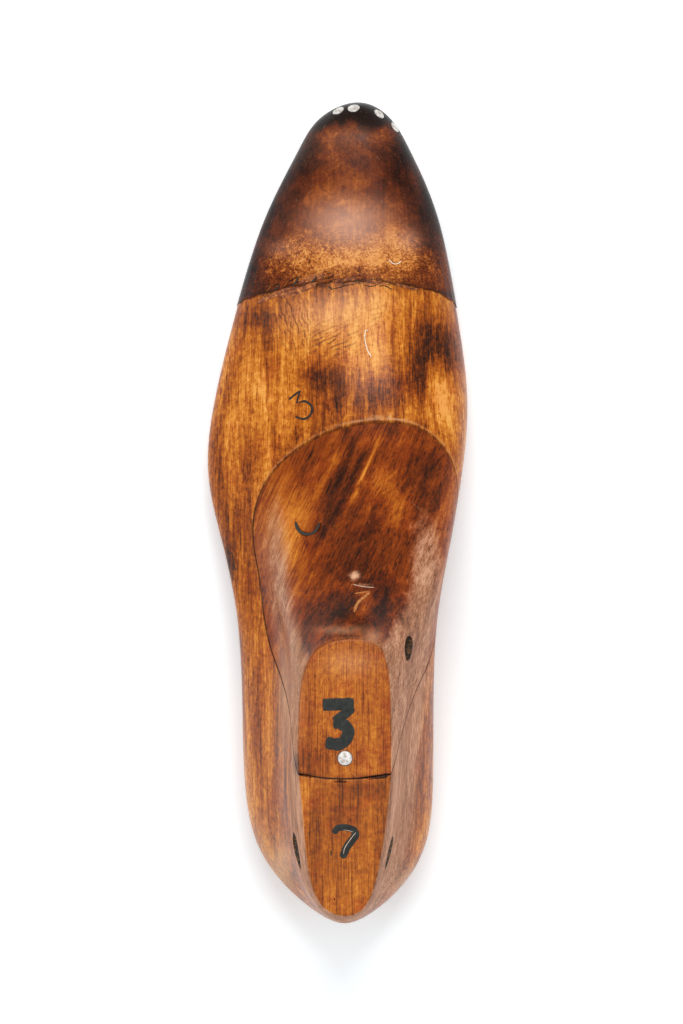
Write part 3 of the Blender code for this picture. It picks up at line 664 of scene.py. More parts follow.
def solid(name: str, points: Array, faces: Array) -> Piece:
    """Return a closed piece from points in millimetres, with doubles merged and faces outward."""
    mesh = bpy.data.meshes.new(name)
    mesh.from_pydata(points.reshape(-1, 3), [], faces.tolist())
    work = bmesh.new()
    work.from_mesh(mesh)
    bmesh.ops.remove_doubles(work, verts=work.verts, dist=MERGE)
    bmesh.ops.dissolve_degenerate(work, edges=work.edges, dist=MERGE)
    bmesh.ops.recalc_face_normals(work, faces=work.faces)
    bmesh.ops.scale(work, vec=(MM, MM, MM), verts=work.verts)
    work.to_mesh(mesh)
    open_edges = sum(1 for edge in work.edges if not edge.is_manifold)
    work.free()
    mesh.shade_smooth()
    obj = bpy.data.objects.new(name, mesh)
    bpy.context.scene.collection.objects.link(obj)
    log.info("%s: %d faces, %d open edges", name, len(mesh.polygons), open_edges)
    return obj


def carve(obj: Piece, cutters: list) -> None:
    """Cut an object by the cutters, take over their materials, and remove them."""
    for cutter in cutters:
        boolean = obj.modifiers.new(cutter.name, "BOOLEAN")
        boolean.operation = "DIFFERENCE"
        boolean.solver = "EXACT"
        boolean.material_mode = "TRANSFER"
        boolean.object = cutter
    bpy.context.view_layer.update()
    carved = bpy.data.meshes.new_from_object(obj.evaluated_get(bpy.context.evaluated_depsgraph_get()))
    obj.modifiers.clear()
    old = obj.data
    name = old.name
    obj.data = carved
    bpy.data.meshes.remove(old)
    carved.name = name
    for cutter in cutters:
        bpy.data.objects.remove(cutter)


@dataclass(frozen=True)
class LastBody:
    """The body of the last: heel, cone, bed under the block, vamp and toe.

    The rounding of its upper edge is corner_radius at the plate's corner and grows from there by
    corner_growth of the distance, up to the rim's or the seam's own radius.
    """

    rim_radius: float = 1.1
    seam_radius: float = 0.2
    feather_radius: float = 0.8
    corner_radius: float = 0.12
    corner_growth: float = 0.6
    least_stride: float = 0.6
    skin_rows: int = 46
    top_rows: int = 20
    sole_rows: int = 16
    floor_below: float = 3.0
    floor_blend: float = 0.3

    def build(self) -> Piece:
        """Return the body's mesh, with a rebate for the toe leather."""
        apex = FORM.ridge_meets(body_top)
        corners = {side: corner_run(side, BODY_CUT) for side in Side}
        rims = {side: np.linspace(0.0, corners[side], RIM_SAMPLES) for side in Side}
        seams = {side: crowding(corners[side], apex) for side in Side}
        rim_length = line_length(Side.LATERAL, rims[Side.LATERAL], body_top)
        rim_shares = graded(rim_length, 1.3, ((0.0, 0.8, 0.1), (rim_length, 0.22, 0.15)))
        seam_length = line_length(Side.LATERAL, seams[Side.LATERAL], body_top)
        seam_shares = graded(seam_length, 1.4, ((0.0, 0.22, 0.15), (seam_length, 0.7, 0.05)))
        corner = len(rim_shares) - 1
        peak = corner + len(seam_shares) - 1
        ahead = graded(FORM.half - apex, 1.5, ((FORM.half - apex, 0.7, 0.05),))[1:]
        parts = {}
        for side in Side:
            rim_run, rim_climb = traced(side, rims[side], body_top, rim_shares, False)
            seam_run, seam_climb = traced(side, seams[side], body_top, seam_shares, True)
            run = np.concatenate([rim_run[:-1], seam_run])
            climb = np.concatenate([rim_climb[:-1], seam_climb])
            parts[side] = self._side(side, run, climb, corner, ahead)
        lateral, medial = parts[Side.LATERAL], parts[Side.MEDIAL]
        points = self._close(lateral, medial, corner, peak)
        first = len(ARC_STEPS) + 1 + lateral["rows"].shape[1] - BORDER_ROWS
        last = first + 2 * BORDER_ROWS - 1 + self.top_rows
        faces = ring_faces(*points.shape[:2], gap=(peak, first, last))
        return solid("last_wood", points, faces)

    def _side(self, side: Side, run: Array, climb: Array, corner: int, ahead: Array) -> dict:
        """Return one side's rows from the sole's edge up onto the top, ring by ring."""
        step = strides(FORM.skin(side, run, climb))
        length = added_up(step)
        from_corner = np.abs(length - length[corner])
        widest = np.where(np.arange(len(run)) < corner, self.rim_radius, self.seam_radius)
        radius = np.minimum(widest, self.corner_radius + self.corner_growth * from_corner)
        far_run, far_climb, border = rounded_edge(side, run, climb, radius, body_top, 1.0)
        far_climb[-1] = RIDGE
        lowest = corner + int(np.argmin(climb[corner:]))
        rising = smooth_step((np.arange(len(run) - 1) - lowest) / (len(run) - 1.0 - lowest))
        foot = run[0] + added_up(np.maximum(np.diff(run), self.least_stride * rising * step))
        foot = np.concatenate([foot, foot[-1] + (FORM.half - foot[-1]) * ahead])
        head = np.concatenate([far_run, far_run[-1] + (FORM.half - far_run[-1]) * ahead])
        head_climb = then_ridge(far_climb, len(ahead))
        lift = self.feather_radius / np.linalg.norm(FORM.slopes(side, foot, np.zeros(len(foot)))[1], axis=1)
        share = np.arange(self.skin_rows) / self.skin_rows
        skin = self._under_leather(side, between(foot, head, share), between(lift, head_climb, share))
        ridge = self._under_leather(side, head[len(run):], head_climb[len(run):])
        rows = np.concatenate([skin, then_line(border, ridge)], axis=1)
        return {"rows": rows, "foot": foot, "side": side}

    def _under_leather(self, side: Side, run: Array, climb: Array) -> Array:
        """Return skin points, sunk by the leather's thickness where the toe leather covers them."""
        place = FORM.skin(side, run, climb)
        depth = LEATHER.depth(run, climb)
        return place - FORM.outward(side, run, climb) * depth[..., None]

    def _close(self, lateral: dict, medial: dict, corner: int, peak: int) -> Array:
        """Return the closed rings: both sides, the top between them, and the sole."""
        left, right = lateral["rows"], medial["rows"]
        join(left[peak:, -BORDER_ROWS:], right[peak:, -BORDER_ROWS:])
        join(left[-1], right[-1])
        join(left[0], right[0])
        fade = smooth_step(1.0 - np.abs(left[:, -1, 1] - left[corner, -1, 1]) / BOW_FADE)
        fade[peak + 1:] = 0.0
        top = across_rows(left[:, -1], right[:, -1], self.top_rows, fade, body_top)
        top[peak + 1:] = left[peak + 1:, -1:]
        welts = {}
        for part in (lateral, medial):
            side, foot = part["side"], part["foot"]
            feather = FORM.skin(side, foot, np.zeros(len(foot)))
            welts[side] = (feather, plan_inward(side, feather))
        width = np.linalg.norm(welts[Side.LATERAL][0] - welts[Side.MEDIAL][0], axis=1)
        crown = FORM.crown(lateral["foot"])[:, 0]
        inset = np.minimum(self.feather_radius / np.maximum(width, 1e-6), 0.5)
        edges = {}
        for part in (lateral, medial):
            feather, inward = welts[part["side"]]
            inner = feather + inward * self.feather_radius
            inner[:, 2] = feather[:, 2] - 4.0 * crown * inset * (1.0 - inset)
            start = part["rows"][:, 0]
            edges[part["side"]] = np.stack([inner, *bends(start, feather, inner)[::-1]], axis=1)
        for end in (0, -1):
            join(edges[Side.LATERAL][end], edges[Side.MEDIAL][end])
        share = even_shares(self.sole_rows)
        sole = between(edges[Side.MEDIAL][:, 0], edges[Side.LATERAL][:, 0], share)
        across = inset[:, None] + (1.0 - 2.0 * inset[:, None]) * share[0, :, 0]
        near, far = (welts[side][0][:, None, 2] for side in (Side.MEDIAL, Side.LATERAL))
        height = near * (1.0 - across) + far * across
        sole[..., 2] = height - crown[:, None] * 4.0 * across * (1.0 - across)
        # Each ring starts at the sole's lateral edge, whose rounding is its first four rows
        rings = [edges[Side.LATERAL], left, top, right[:, ::-1], edges[Side.MEDIAL][:, ::-1], sole]
        points = np.concatenate(rings, axis=1)
        # Low points are kept over the floor: half of their height and the root of its square + blend^2
        low = points[..., 2] < self.floor_below
        points[low, 2] = 0.5 * (points[low, 2] + np.sqrt(points[low, 2] ** 2 + self.floor_blend**2))
        return points


@dataclass(frozen=True)
class ToeLeather:
    """The leather build-up over the toe: thick at the tip and skived thin at its rear edge.

    A climb of 1 is about climb_width wide there.
    """

    thickness: float = 1.9
    skive: float = 24.0
    low_climb: float = 0.33
    clearance: float = 0.05
    edge_thickness: float = 0.22
    rag: float = 0.45
    rebate_margin: float = 0.05
    rebate_blend: float = 0.4
    climb_width: float = 18.0

    def rear(self, side: Side, climb: Array) -> Array:
        """Return the run of the ragged rear edge at each climb."""
        place = (RIDGE - climb) * self.climb_width * side.value
        return FORM.knots[COVER_RIB] + self.rag * wander(place, 14.0, 7)

    def depth(self, run: Array, climb: Array) -> Array:
        """Return how deep the wood lies under the skin's surface beneath the leather."""
        behind = smooth_step((run - FORM.knots[COVER_RIB]) / self.skive)
        above = smooth_step((climb - self.low_climb + self.rebate_margin) / self.rebate_blend)
        return (self.thickness + self.clearance) * behind * above

    def build(self) -> Piece:
        """Return the leather shell: an outer and an inner surface joined along their edges."""
        climb = self.low_climb + (RIDGE - self.low_climb) * graded(3.7, 0.06, ((0.0, 0.02, 0.1),))
        shares = graded(80.0, 1.2, ((0.0, 0.15, 0.12), (80.0, 0.6, 0.05)))
        shells = []
        for side in Side:
            rear = self.rear(side, climb)
            run = rear[None, :] + (FORM.half - rear)[None, :] * shares[:, None]
            lift = np.broadcast_to(climb, run.shape)
            skin = FORM.skin(side, run, lift)
            out = FORM.outward(side, run, lift)
            depth = self.depth(run, lift)
            thin = 1.0 - depth / (self.thickness + self.clearance)
            edge = self.edge_thickness * (1.0 + 0.3 * wander(lift * self.climb_width, 6.0, 3))
            outer = skin + out * (edge * thin)[..., None]
            inner = skin - out * (depth - self.clearance)[..., None]
            shells.append((outer, inner))
        (left_out, left_in), (right_out, right_in) = shells
        for left, right in ((left_out, right_out), (left_in, right_in)):
            join(left[:, -1], right[:, -1])
            join(left[-1], right[-1])
        outer = np.concatenate([left_out, right_out[:, -2::-1]], axis=1)
        inner = np.concatenate([left_in, right_in[:, -2::-1]], axis=1)
        loop = np.concatenate([outer, inner[:, ::-1]], axis=1)
        faces = np.concatenate([ring_faces(*loop.shape[:2]), self._rear_cap(outer.shape[1])])
        return solid("toe_leather", loop, faces)

    @staticmethod
    def _rear_cap(width: int) -> Array:
        """Return the quads that close the shell along its rear edge, on the first ring."""
        near = np.arange(width - 1)
        far = 2 * width - 1 - near
        return np.stack([near, near + 1, far - 1, far], axis=1)


LEATHER = ToeLeather()


@dataclass(frozen=True)
class ScoopBlock:
    """The wedge of wood sawn out of the instep, with the front of the plate on top."""

    rim_radius: float = 1.1
    seam_radius: float = 0.2
    height_share: float = 0.2
    skin_rows: int = 30
    lid_rows: int = 20

    def build(self) -> Piece:
        """Return the block's mesh, from its thin rear edge at the plate to its point on the vamp."""
        front = FORM.ridge_meets(plate)
        apex = FORM.ridge_meets(BLOCK_CUT)
        corners = {side: corner_run(side, BLOCK_CUT) for side in Side}
        low = crowding(corners[Side.LATERAL], apex)
        low_length = line_length(Side.LATERAL, low, BLOCK_CUT)
        low_shares = graded(low_length, 1.3, ((0.0, 0.2, 0.12), (low_length, 0.7, 0.05)))
        low_run, _ = traced(Side.LATERAL, low, BLOCK_CUT, low_shares, True)
        turn = int(np.searchsorted(low_run, front))
        parts = {}
        for side in Side:
            run, climb = traced(side, crowding(corners[side], apex), BLOCK_CUT, low_shares, True)
            rim_shares = stretched_out(low_shares[: turn + 1])
            rim_run, rim_climb = traced(side, crowding(corners[side], front), plate, rim_shares, True)
            ridge_shares = stretched_out(low_shares[turn:])[1:]
            ridge_run = front + (apex - front) * ridge_shares
            parts[side] = self._side(side, run, climb, rim_run, rim_climb, ridge_run)
        left, right = parts[Side.LATERAL], parts[Side.MEDIAL]
        join(left[turn:, -BORDER_ROWS:], right[turn:, -BORDER_ROWS:])
        join(left[-1], right[-1])
        for part in (left, right):
            part[0] = part[0, -1]
        fade = smooth_step(1.0 - (left[:, -1, 1] - left[0, -1, 1]) / BOW_FADE)
        top = across_rows(left[:, -1], right[:, -1], self.lid_rows, fade, plate)
        top[turn + 1:] = left[turn + 1:, -1:]
        under_fade = smooth_step(1.0 - (left[:, 0, 1] - left[0, 0, 1]) / BOW_FADE)
        under = across_rows(right[:, 0], left[:, 0], self.lid_rows, under_fade, BLOCK_CUT)
        under[0] = top[0, ::-1]
        under[-1] = left[-1, :1]
        points = np.concatenate([left, top, right[:, ::-1], under], axis=1)
        first = left.shape[1] - BORDER_ROWS
        last = first + 2 * BORDER_ROWS - 1 + self.lid_rows
        faces = ring_faces(*points.shape[:2], gap=(turn, first, last))
        return solid("block_wood", points, faces)

    def _side(
        self, side: Side, run: Array, climb: Array, rim_run: Array, rim_climb: Array,
        ridge_run: Array,
    ) -> Array:
        """Return one side's rows from the underside over the seam's edge up onto the plate."""
        low = FORM.skin(side, run, climb)
        high_run = np.concatenate([rim_run, ridge_run])
        high_climb = then_ridge(rim_climb, len(ridge_run))
        high = FORM.skin(side, high_run, high_climb)
        height = np.linalg.norm(high - low, axis=1)
        seam_radius = np.minimum(self.seam_radius, self.height_share * height)
        rim_radius = np.minimum(self.rim_radius, self.height_share * height)[: len(rim_run)]
        far_run, far_climb, seam = rounded_edge(side, run, climb, seam_radius, BLOCK_CUT, -1.0)
        far_climb[-1] = RIDGE
        top_run, top_climb, rim = rounded_edge(side, rim_run, rim_climb, rim_radius, plate, 1.0)
        top_climb[-1] = RIDGE
        top_run = np.concatenate([top_run, np.maximum(ridge_run, top_run[-1])])
        top_climb = then_ridge(top_climb, len(ridge_run))
        share = np.arange(1, self.skin_rows) / self.skin_rows
        skin = FORM.skin(side, between(far_run, top_run, share), between(far_climb, top_climb, share))
        ridge = FORM.skin(side, top_run[len(rim_run):], top_climb[len(rim_run):])
        return np.concatenate([seam[:, ::-1], skin, then_line(rim, ridge)], axis=1)


# How far apart nodes stand in a node tree, and how many stand in a row
NODE_STEP = (190.0, -260.0)
NODES_ACROSS = 12


class Wiring:
    """Adds nodes to one node tree and joins them."""

    def __init__(self, tree: Tree) -> None:
        """Take the tree to work on."""
        self.tree = tree

    def add(self, kind: str, inputs: Optional[dict] = None, **settings: object) -> Node:
        """Return a new node with its settings made and its inputs set or joined.

        Args:
            kind: The node's type name.
            inputs: Values or output sockets, by the input's name or number.
            settings: The node's own properties.

        Returns:
            The node.
        """
        node = self.tree.nodes.new(kind)
        row, column = divmod(len(self.tree.nodes), NODES_ACROSS)
        node.location = (NODE_STEP[0] * column, NODE_STEP[1] * row)
        for name, value in settings.items():
            setattr(node, name, value)
        self.fill(node, inputs or {})
        return node

    def fill(self, node: Node, inputs: dict) -> None:
        """Set or join a node's inputs, by the input's name or number."""
        for name, value in inputs.items():
            self.feed(node.inputs[name], value)

    def feed(self, socket: Socket, value: object) -> None:
        """Join an output to a socket, or set the socket's value."""
        if isinstance(value, Socket):
            self.tree.links.new(value, socket)
        else:
            socket.default_value = value

    def calc(self, operation: str, a: object, b: object = 0.0, clamp: bool = False) -> Socket:
        """Return the result of a Math node."""
        node = self.add("ShaderNodeMath", {0: a, 1: b}, operation=operation, use_clamp=clamp)
        return node.outputs[0]

    def times(self, a: object, b: object, clamp: bool = False) -> Socket:
        """Return the product of two values."""
        return self.calc("MULTIPLY", a, b, clamp)

    def summed(self, base: object, *terms: tuple) -> Socket:
        """Return the base plus each term's value times its weight."""
        total = base
        for value, weight in terms:
            node = self.add("ShaderNodeMath", {0: value, 1: weight, 2: total}, operation="MULTIPLY_ADD")
            total = node.outputs[0]
        return total

    def band(self, value: object, low: float, high: float) -> Socket:
        """Return 0 where the value is low and 1 where it is high, smoothly between them."""
        values = {"Value": value, "From Min": low, "From Max": high}
        return self.add("ShaderNodeMapRange", values, interpolation_type="SMOOTHSTEP").outputs["Result"]

    def blend(self, share: object, first: object, second: object, mode: str = "MIX") -> Socket:
        """Return a mix of two colours."""
        node = self.add("ShaderNodeMix", {0: share, 6: first, 7: second}, data_type="RGBA", blend_type=mode)
        return node.outputs[2]

    def ramp(self, value: object, stops: tuple) -> Socket:
        """Return a colour picked along a ramp of (place, red, green, blue) stops."""
        node = self.add("ShaderNodeValToRGB", {0: value})
        elements = node.color_ramp.elements
        while len(elements) < len(stops):
            elements.new(0.5)
        for element, (place, *colour) in zip(elements, stops):
            element.position = place
            element.color = (*colour, 1.0)
        return node.outputs["Color"]

    def noise(self, vector: object, scale: float, detail: float, rough: float, warp: float = 0.0) -> Socket:
        """Return a noise between 0 and 1."""
        values = {"Vector": vector, "Scale": scale, "Detail": detail, "Roughness": rough, "Distortion": warp}
        return self.add("ShaderNodeTexNoise", values).outputs[0]

    def stretched(self, vector: object, scale: tuple, turn: float = 0.0) -> Socket:
        """Return coordinates turned about Z and then scaled along each axis."""
        values = {"Vector": vector, "Rotation": (0.0, 0.0, turn)}
        turned = self.add("ShaderNodeVectorRotate", values, rotation_type="EULER_XYZ")
        node = self.add("ShaderNodeVectorMath", {0: turned.outputs[0], 1: scale}, operation="MULTIPLY")
        return node.outputs[0]

    def streaks(
        self, vector: object, scale: tuple, detail: float, rough: float, warp: float = 0.0, turn: float = 0.0
    ) -> Socket:
        """Return a noise between 0 and 1 on stretched coordinates."""
        return self.noise(self.stretched(vector, scale, turn), 1.0, detail, rough, warp)

    def turned(self, vector: object, angle: object) -> Socket:
        """Return coordinates turned about Z by an angle that may vary."""
        values = {"Vector": vector, "Angle": angle}
        return self.add("ShaderNodeVectorRotate", values, rotation_type="Z_AXIS").outputs[0]

    def group(self, tree: Tree, inputs: dict) -> Sockets:
        """Return the outputs of a shader group, its inputs set or joined."""
        return self.add("ShaderNodeGroup", inputs, node_tree=tree).outputs

    def painted(self, name: str) -> Socket:
        """Return a value painted on the mesh's points."""
        return self.add("ShaderNodeAttribute", attribute_name=name).outputs["Fac"]

    def bumped(self, height: object, strength: float, depth: float) -> Socket:
        """Return a normal bent by a height, the depth in metres."""
        values = {"Height": height, "Strength": strength, "Distance": depth}
        return self.add("ShaderNodeBump", values).outputs["Normal"]


def shader_group(name: str, inputs: tuple, outputs: tuple) -> tuple[Tree, Wiring, Sockets, Sockets]:
    """Return a new shader node group with named sockets.

    Args:
        name: The group's name.
        inputs: Pairs of a name and a socket type.
        outputs: Pairs of a name and a socket type.

    Returns:
        The tree, its wiring, its inputs as outputs to join from, and its outputs to feed.
    """
    tree = bpy.data.node_groups.new(name, "ShaderNodeTree")
    for label, kind in inputs:
        tree.interface.new_socket(name=label, in_out="INPUT", socket_type=kind)
    for label, kind in outputs:
        tree.interface.new_socket(name=label, in_out="OUTPUT", socket_type=kind)
    wiring = Wiring(tree)
    source = wiring.add("NodeGroupInput").outputs
    sink = wiring.add("NodeGroupOutput").inputs
    return tree, wiring, source, sink


GRAIN_PARTS = ("Streak", "Fibre", "Pore", "Mottle", "Line")
PLACE_INPUT = (("Vector", "NodeSocketVector"),)


def floats(*names: str) -> tuple:
    """Return pairs of a name and the socket type of a number."""
    return tuple((name, "NodeSocketFloat") for name in names)


class Effects:
    """The shader node groups that more than one finish uses; their coordinates are millimetres."""

    def __init__(self) -> None:
        """Build each group once."""
        self.grain = self._grain()
        self.scuffs = self._scuffs()
        self.creases = self._creases()

    @staticmethod
    def _grain() -> Tree:
        """Return the wood's grain, which runs along Y."""
        tree, wire, source, sink = shader_group("wood_grain", PLACE_INPUT, floats(*GRAIN_PARTS))
        place = source["Vector"]
        wide = wire.streaks(place, (0.16, 0.014, 0.10), 4.0, 0.6, 0.5)
        narrow = wire.streaks(place, (0.7, 0.035, 0.25), 3.0, 0.6, 0.3)
        wire.feed(sink["Streak"], wire.summed(0.0, (wide, 0.65), (narrow, 0.35)))
        wire.feed(sink["Fibre"], wire.streaks(place, (2.6, 0.16, 0.8), 3.0, 0.6))
        cells = {"Vector": wire.stretched(place, (1.7, 0.34, 1.7)), "Scale": 1.0}
        distance = wire.add("ShaderNodeTexVoronoi", cells).outputs["Distance"]
        wire.feed(sink["Pore"], wire.band(distance, 0.24, 0.1))
        wire.feed(sink["Mottle"], wire.noise(place, 0.55, 5.0, 0.72, 0.4))
        hair = wire.streaks(place, (2.2, 0.05, 0.6), 2.0, 0.6, 0.6)
        wire.feed(sink["Line"], wire.band(hair, 0.54, 0.66))
        return tree

    @staticmethod
    def _scuffs() -> Tree:
        """Return scuffs and hairline scratches."""
        tree, wire, source, sink = shader_group("scuffs", PLACE_INPUT, floats("Scuff", "Hairline"))
        place = source["Vector"]
        cloud = wire.noise(place, 0.07, 3.0, 0.6)
        speck = wire.noise(place, 1.1, 4.0, 0.7)
        wire.feed(sink["Scuff"], wire.band(wire.summed(0.0, (cloud, 0.6), (speck, 0.4)), 0.46, 0.66))
        lines = [
            wire.band(wire.streaks(place, (2.4, 0.05, 2.4), 1.0, 0.4, 0.6, turn), 0.72, 0.78)
            for turn in (0.5, -0.9)
        ]
        wire.feed(sink["Hairline"], wire.calc("MAXIMUM", *lines))
        return tree

    @staticmethod
    def _creases() -> Tree:
        """Return short wavy creases that lie along the turned Y."""
        tree, wire, source, sink = shader_group("creases", PLACE_INPUT + floats("Turn"), floats("Crease"))
        place = wire.turned(source["Vector"], source["Turn"])
        values = {"Vector": place, "Scale": 0.2, "Distortion": 5.0, "Detail": 2.0, "Detail Scale": 1.2}
        wave = wire.add("ShaderNodeTexWave", values).outputs["Fac"]
        broken = wire.band(wire.streaks(place, (0.6, 0.22, 0.6), 2.0, 0.5), 0.46, 0.54)
        wire.feed(sink["Crease"], wire.times(wire.band(wave, 0.62, 0.86), broken))
        return tree


def millimetres(wire: Wiring) -> Socket:
    """Return the object's own coordinates in millimetres."""
    place = wire.add("ShaderNodeTexCoord").outputs["Object"]
    return wire.stretched(place, (1000.0, 1000.0, 1000.0))


def new_material(name: str) -> tuple[Material, Wiring, Node]:
    """Return a material, its wiring and its Principled shader."""
    material = bpy.data.materials.new(name)
    material.use_nodes = True
    return material, Wiring(material.node_tree), material.node_tree.nodes["Principled BSDF"]


WAXED_BROWNS = (
    (0.0, 0.024, 0.006, 0.002), (0.2, 0.125, 0.025, 0.003), (0.4, 0.30, 0.062, 0.005),
    (0.6, 0.51, 0.135, 0.010), (0.8, 0.76, 0.27, 0.030), (1.0, 0.94, 0.44, 0.09),
)
BLOCK_BROWNS = (
    (0.0, 0.024, 0.005, 0.001), (0.2, 0.125, 0.020, 0.001), (0.4, 0.30, 0.052, 0.003), *WAXED_BROWNS[3:],
)
# Near black for soiling, and for the painted shade on the torn flakes' steep sides
DIRT_AND_SHADE_BLACK = (0.012, 0.006, 0.004, 1.0)


@dataclass(frozen=True)
class WaxedWood:
    """Old waxed wood: a ramp of browns along the grain, raw pale wood, fresh cuts, soiling, a painted sheen
    and a painted edge highlight.

    The strengths named for the plate hold where its mask is 1, whatever the piece's own are.
    """

    name: str
    browns: tuple = WAXED_BROWNS
    raws: tuple = ((0.2, 0.20, 0.072, 0.032), (0.5, 0.43, 0.178, 0.086), (0.8, 0.72, 0.38, 0.225))
    turn: float = 0.0
    lift: float = 0.0
    mottling: float = 1.0
    fibres: float = 0.6
    streaking: float = 2.0
    pores: float = 0.24
    plate_mottling: float = 0.75
    plate_fibres: float = 0.5
    plate_pores: float = 0.24
    lines: float = 0.22
    redness: float = 0.35
    hairlines: float = 0.07
    roughness: float = 0.25
    specular: float = 0.08
    coat: float = 0.05
    coat_roughness: float = 0.18
    red_tint: tuple = (0.90, 0.62, 0.85, 1.0)
    pore_brown: tuple = (0.16, 0.06, 0.03, 1.0)
    worn_and_highlit_browns: tuple = ((0.42, 0.17, 0.06, 1.0), (0.80, 0.46, 0.22, 1.0))
    sheen_and_wear_tan: tuple = (0.98, 0.62, 0.38, 1.0)
    crack_brown: tuple = (0.17, 0.045, 0.018, 1.0)
    hairline_tan: tuple = (0.62, 0.36, 0.22, 1.0)
    crease_turns: tuple = (("crackle", -0.35), ("fold", 1.15))

    def material(self, effects: Effects) -> Material:
        """Return the material.

        Args:
            effects: The shader groups that it uses.

        Returns:
            The material, fed by the values painted on the piece.
        """
        material, wire, shader = new_material(self.name)
        place = millimetres(wire)
        plate = wire.painted("plate")
        off_plate = wire.calc("SUBTRACT", 1.0, wire.calc("GREATER_THAN", plate, 0.5))
        grain = wire.group(effects.grain, {"Vector": wire.turned(place, wire.times(off_plate, self.turn))})
        scuffs = wire.group(effects.scuffs, {"Vector": place})
        streak, fibre, pore, mottle, line = (grain[name] for name in GRAIN_PARTS)
        colour = wire.ramp(self._level(wire, grain, plate), self.browns)
        reddish = wire.band(wire.noise(place, 0.10, 3.0, 0.6, 0.4), 0.50, 0.66)
        reddish = wire.times(reddish, wire.summed(self.redness, (plate, 0.4)))
        colour = wire.blend(reddish, colour, self.red_tint, "MULTIPLY")
        raw_level = wire.summed(-0.90, (streak, 1.5), (fibre, 0.9), (mottle, 0.5), (line, -0.20))
        raw = wire.blend(wire.times(pore, 0.4), wire.ramp(raw_level, self.raws), self.pore_brown)
        pale = wire.painted("pale")
        ragged = wire.summed(-0.95, (pale, 1.3), (mottle, 0.5), (streak, 1.2))
        colour = wire.blend(wire.times(wire.band(ragged, 0.0, 0.7), wire.band(pale, 0.0, 0.15)), colour, raw)
        # Lighter browns for wear, and as a painted highlight along the rounded edge of the seam
        worn_and_highlit = wire.times(wire.painted("wear"), wire.band(mottle, 0.3, 0.55), True)
        colour = wire.blend(worn_and_highlit, colour, wire.blend(fibre, *self.worn_and_highlit_browns))
        saw = wire.streaks(place, (0.02, 1.4, 1.4), 2.0, 0.5)
        cut_level = wire.summed(-0.35, (saw, 0.8), (fibre, 0.5), (streak, 0.4))
        bare = wire.painted("bare")
        colour = wire.blend(bare, colour, wire.ramp(cut_level, self.raws))
        # A pale tan that is painted sheen on the vamp's top and over the plates, and pale worn spots
        # elsewhere
        colour = wire.blend(wire.painted("haze"), colour, self.sheen_and_wear_tan)
        marks = [
            wire.times(wire.group(effects.creases, {"Vector": place, "Turn": turn})[0], wire.painted(name))
            for name, turn in self.crease_turns
        ]
        crackle = wire.calc("ADD", *marks, clamp=True)
        colour = wire.blend(wire.times(crackle, 0.8), colour, self.crack_brown)
        grime = wire.summed(0.0, (wire.painted("grime"), 1.3), (mottle, -0.25))
        colour = wire.blend(wire.calc("MAXIMUM", grime, 0.0, True), colour, DIRT_AND_SHADE_BLACK)
        colour = wire.blend(wire.times(scuffs["Hairline"], self.hairlines), colour, self.hairline_tan)
        duller = ((pale, 0.34), (scuffs["Scuff"], 0.08), (bare, 0.3), (mottle, 0.06))
        height = wire.summed(0.0, (fibre, 0.25), (pore, -0.5), (mottle, 0.25), (crackle, -1.6))
        wire.fill(shader, {
            "Base Color": colour,
            "Roughness": wire.summed(self.roughness, *duller),
            "Normal": wire.bumped(height, 0.5, 0.00025),
            "Specular IOR Level": self.specular,
            "Coat Weight": self.coat,
            "Coat Roughness": self.coat_roughness,
        })
        return material

    def _level(self, wire: Wiring, grain: Sockets, plate: Socket) -> Socket:
        """Return the place on the ramp of browns.

        Args:
            wire: The material's wiring.
            grain: The grain group's outputs.
            plate: The plate's mask.

        Returns:
            A value, mostly between 0 and 1.
        """
        streak, fibre, pore, mottle, line = (grain[name] for name in GRAIN_PARTS)
        more_fibres = self.plate_fibres - self.fibres
        more_mottling = self.plate_mottling - self.mottling
        plate_fibres = wire.summed(-0.5 * more_fibres, (fibre, more_fibres))
        plate_mottling = wire.summed(-0.5 * more_mottling, (mottle, more_mottling))
        plate_grain = wire.times(wire.calc("ADD", plate_fibres, plate_mottling), plate)
        streaking = wire.times(wire.calc("SUBTRACT", streak, 0.5), wire.summed(self.streaking, (plate, -1.0)))
        return wire.summed(
            0.54 - 0.5 * (self.mottling + self.fibres) + self.lift,
            (streaking, 1.0), (fibre, self.fibres), (mottle, self.mottling), (wire.painted("tone"), 1.0),
            (pore, -self.pores), (line, -self.lines),
            (plate_grain, 1.0), (wire.times(pore, plate), self.pores - self.plate_pores),
        )


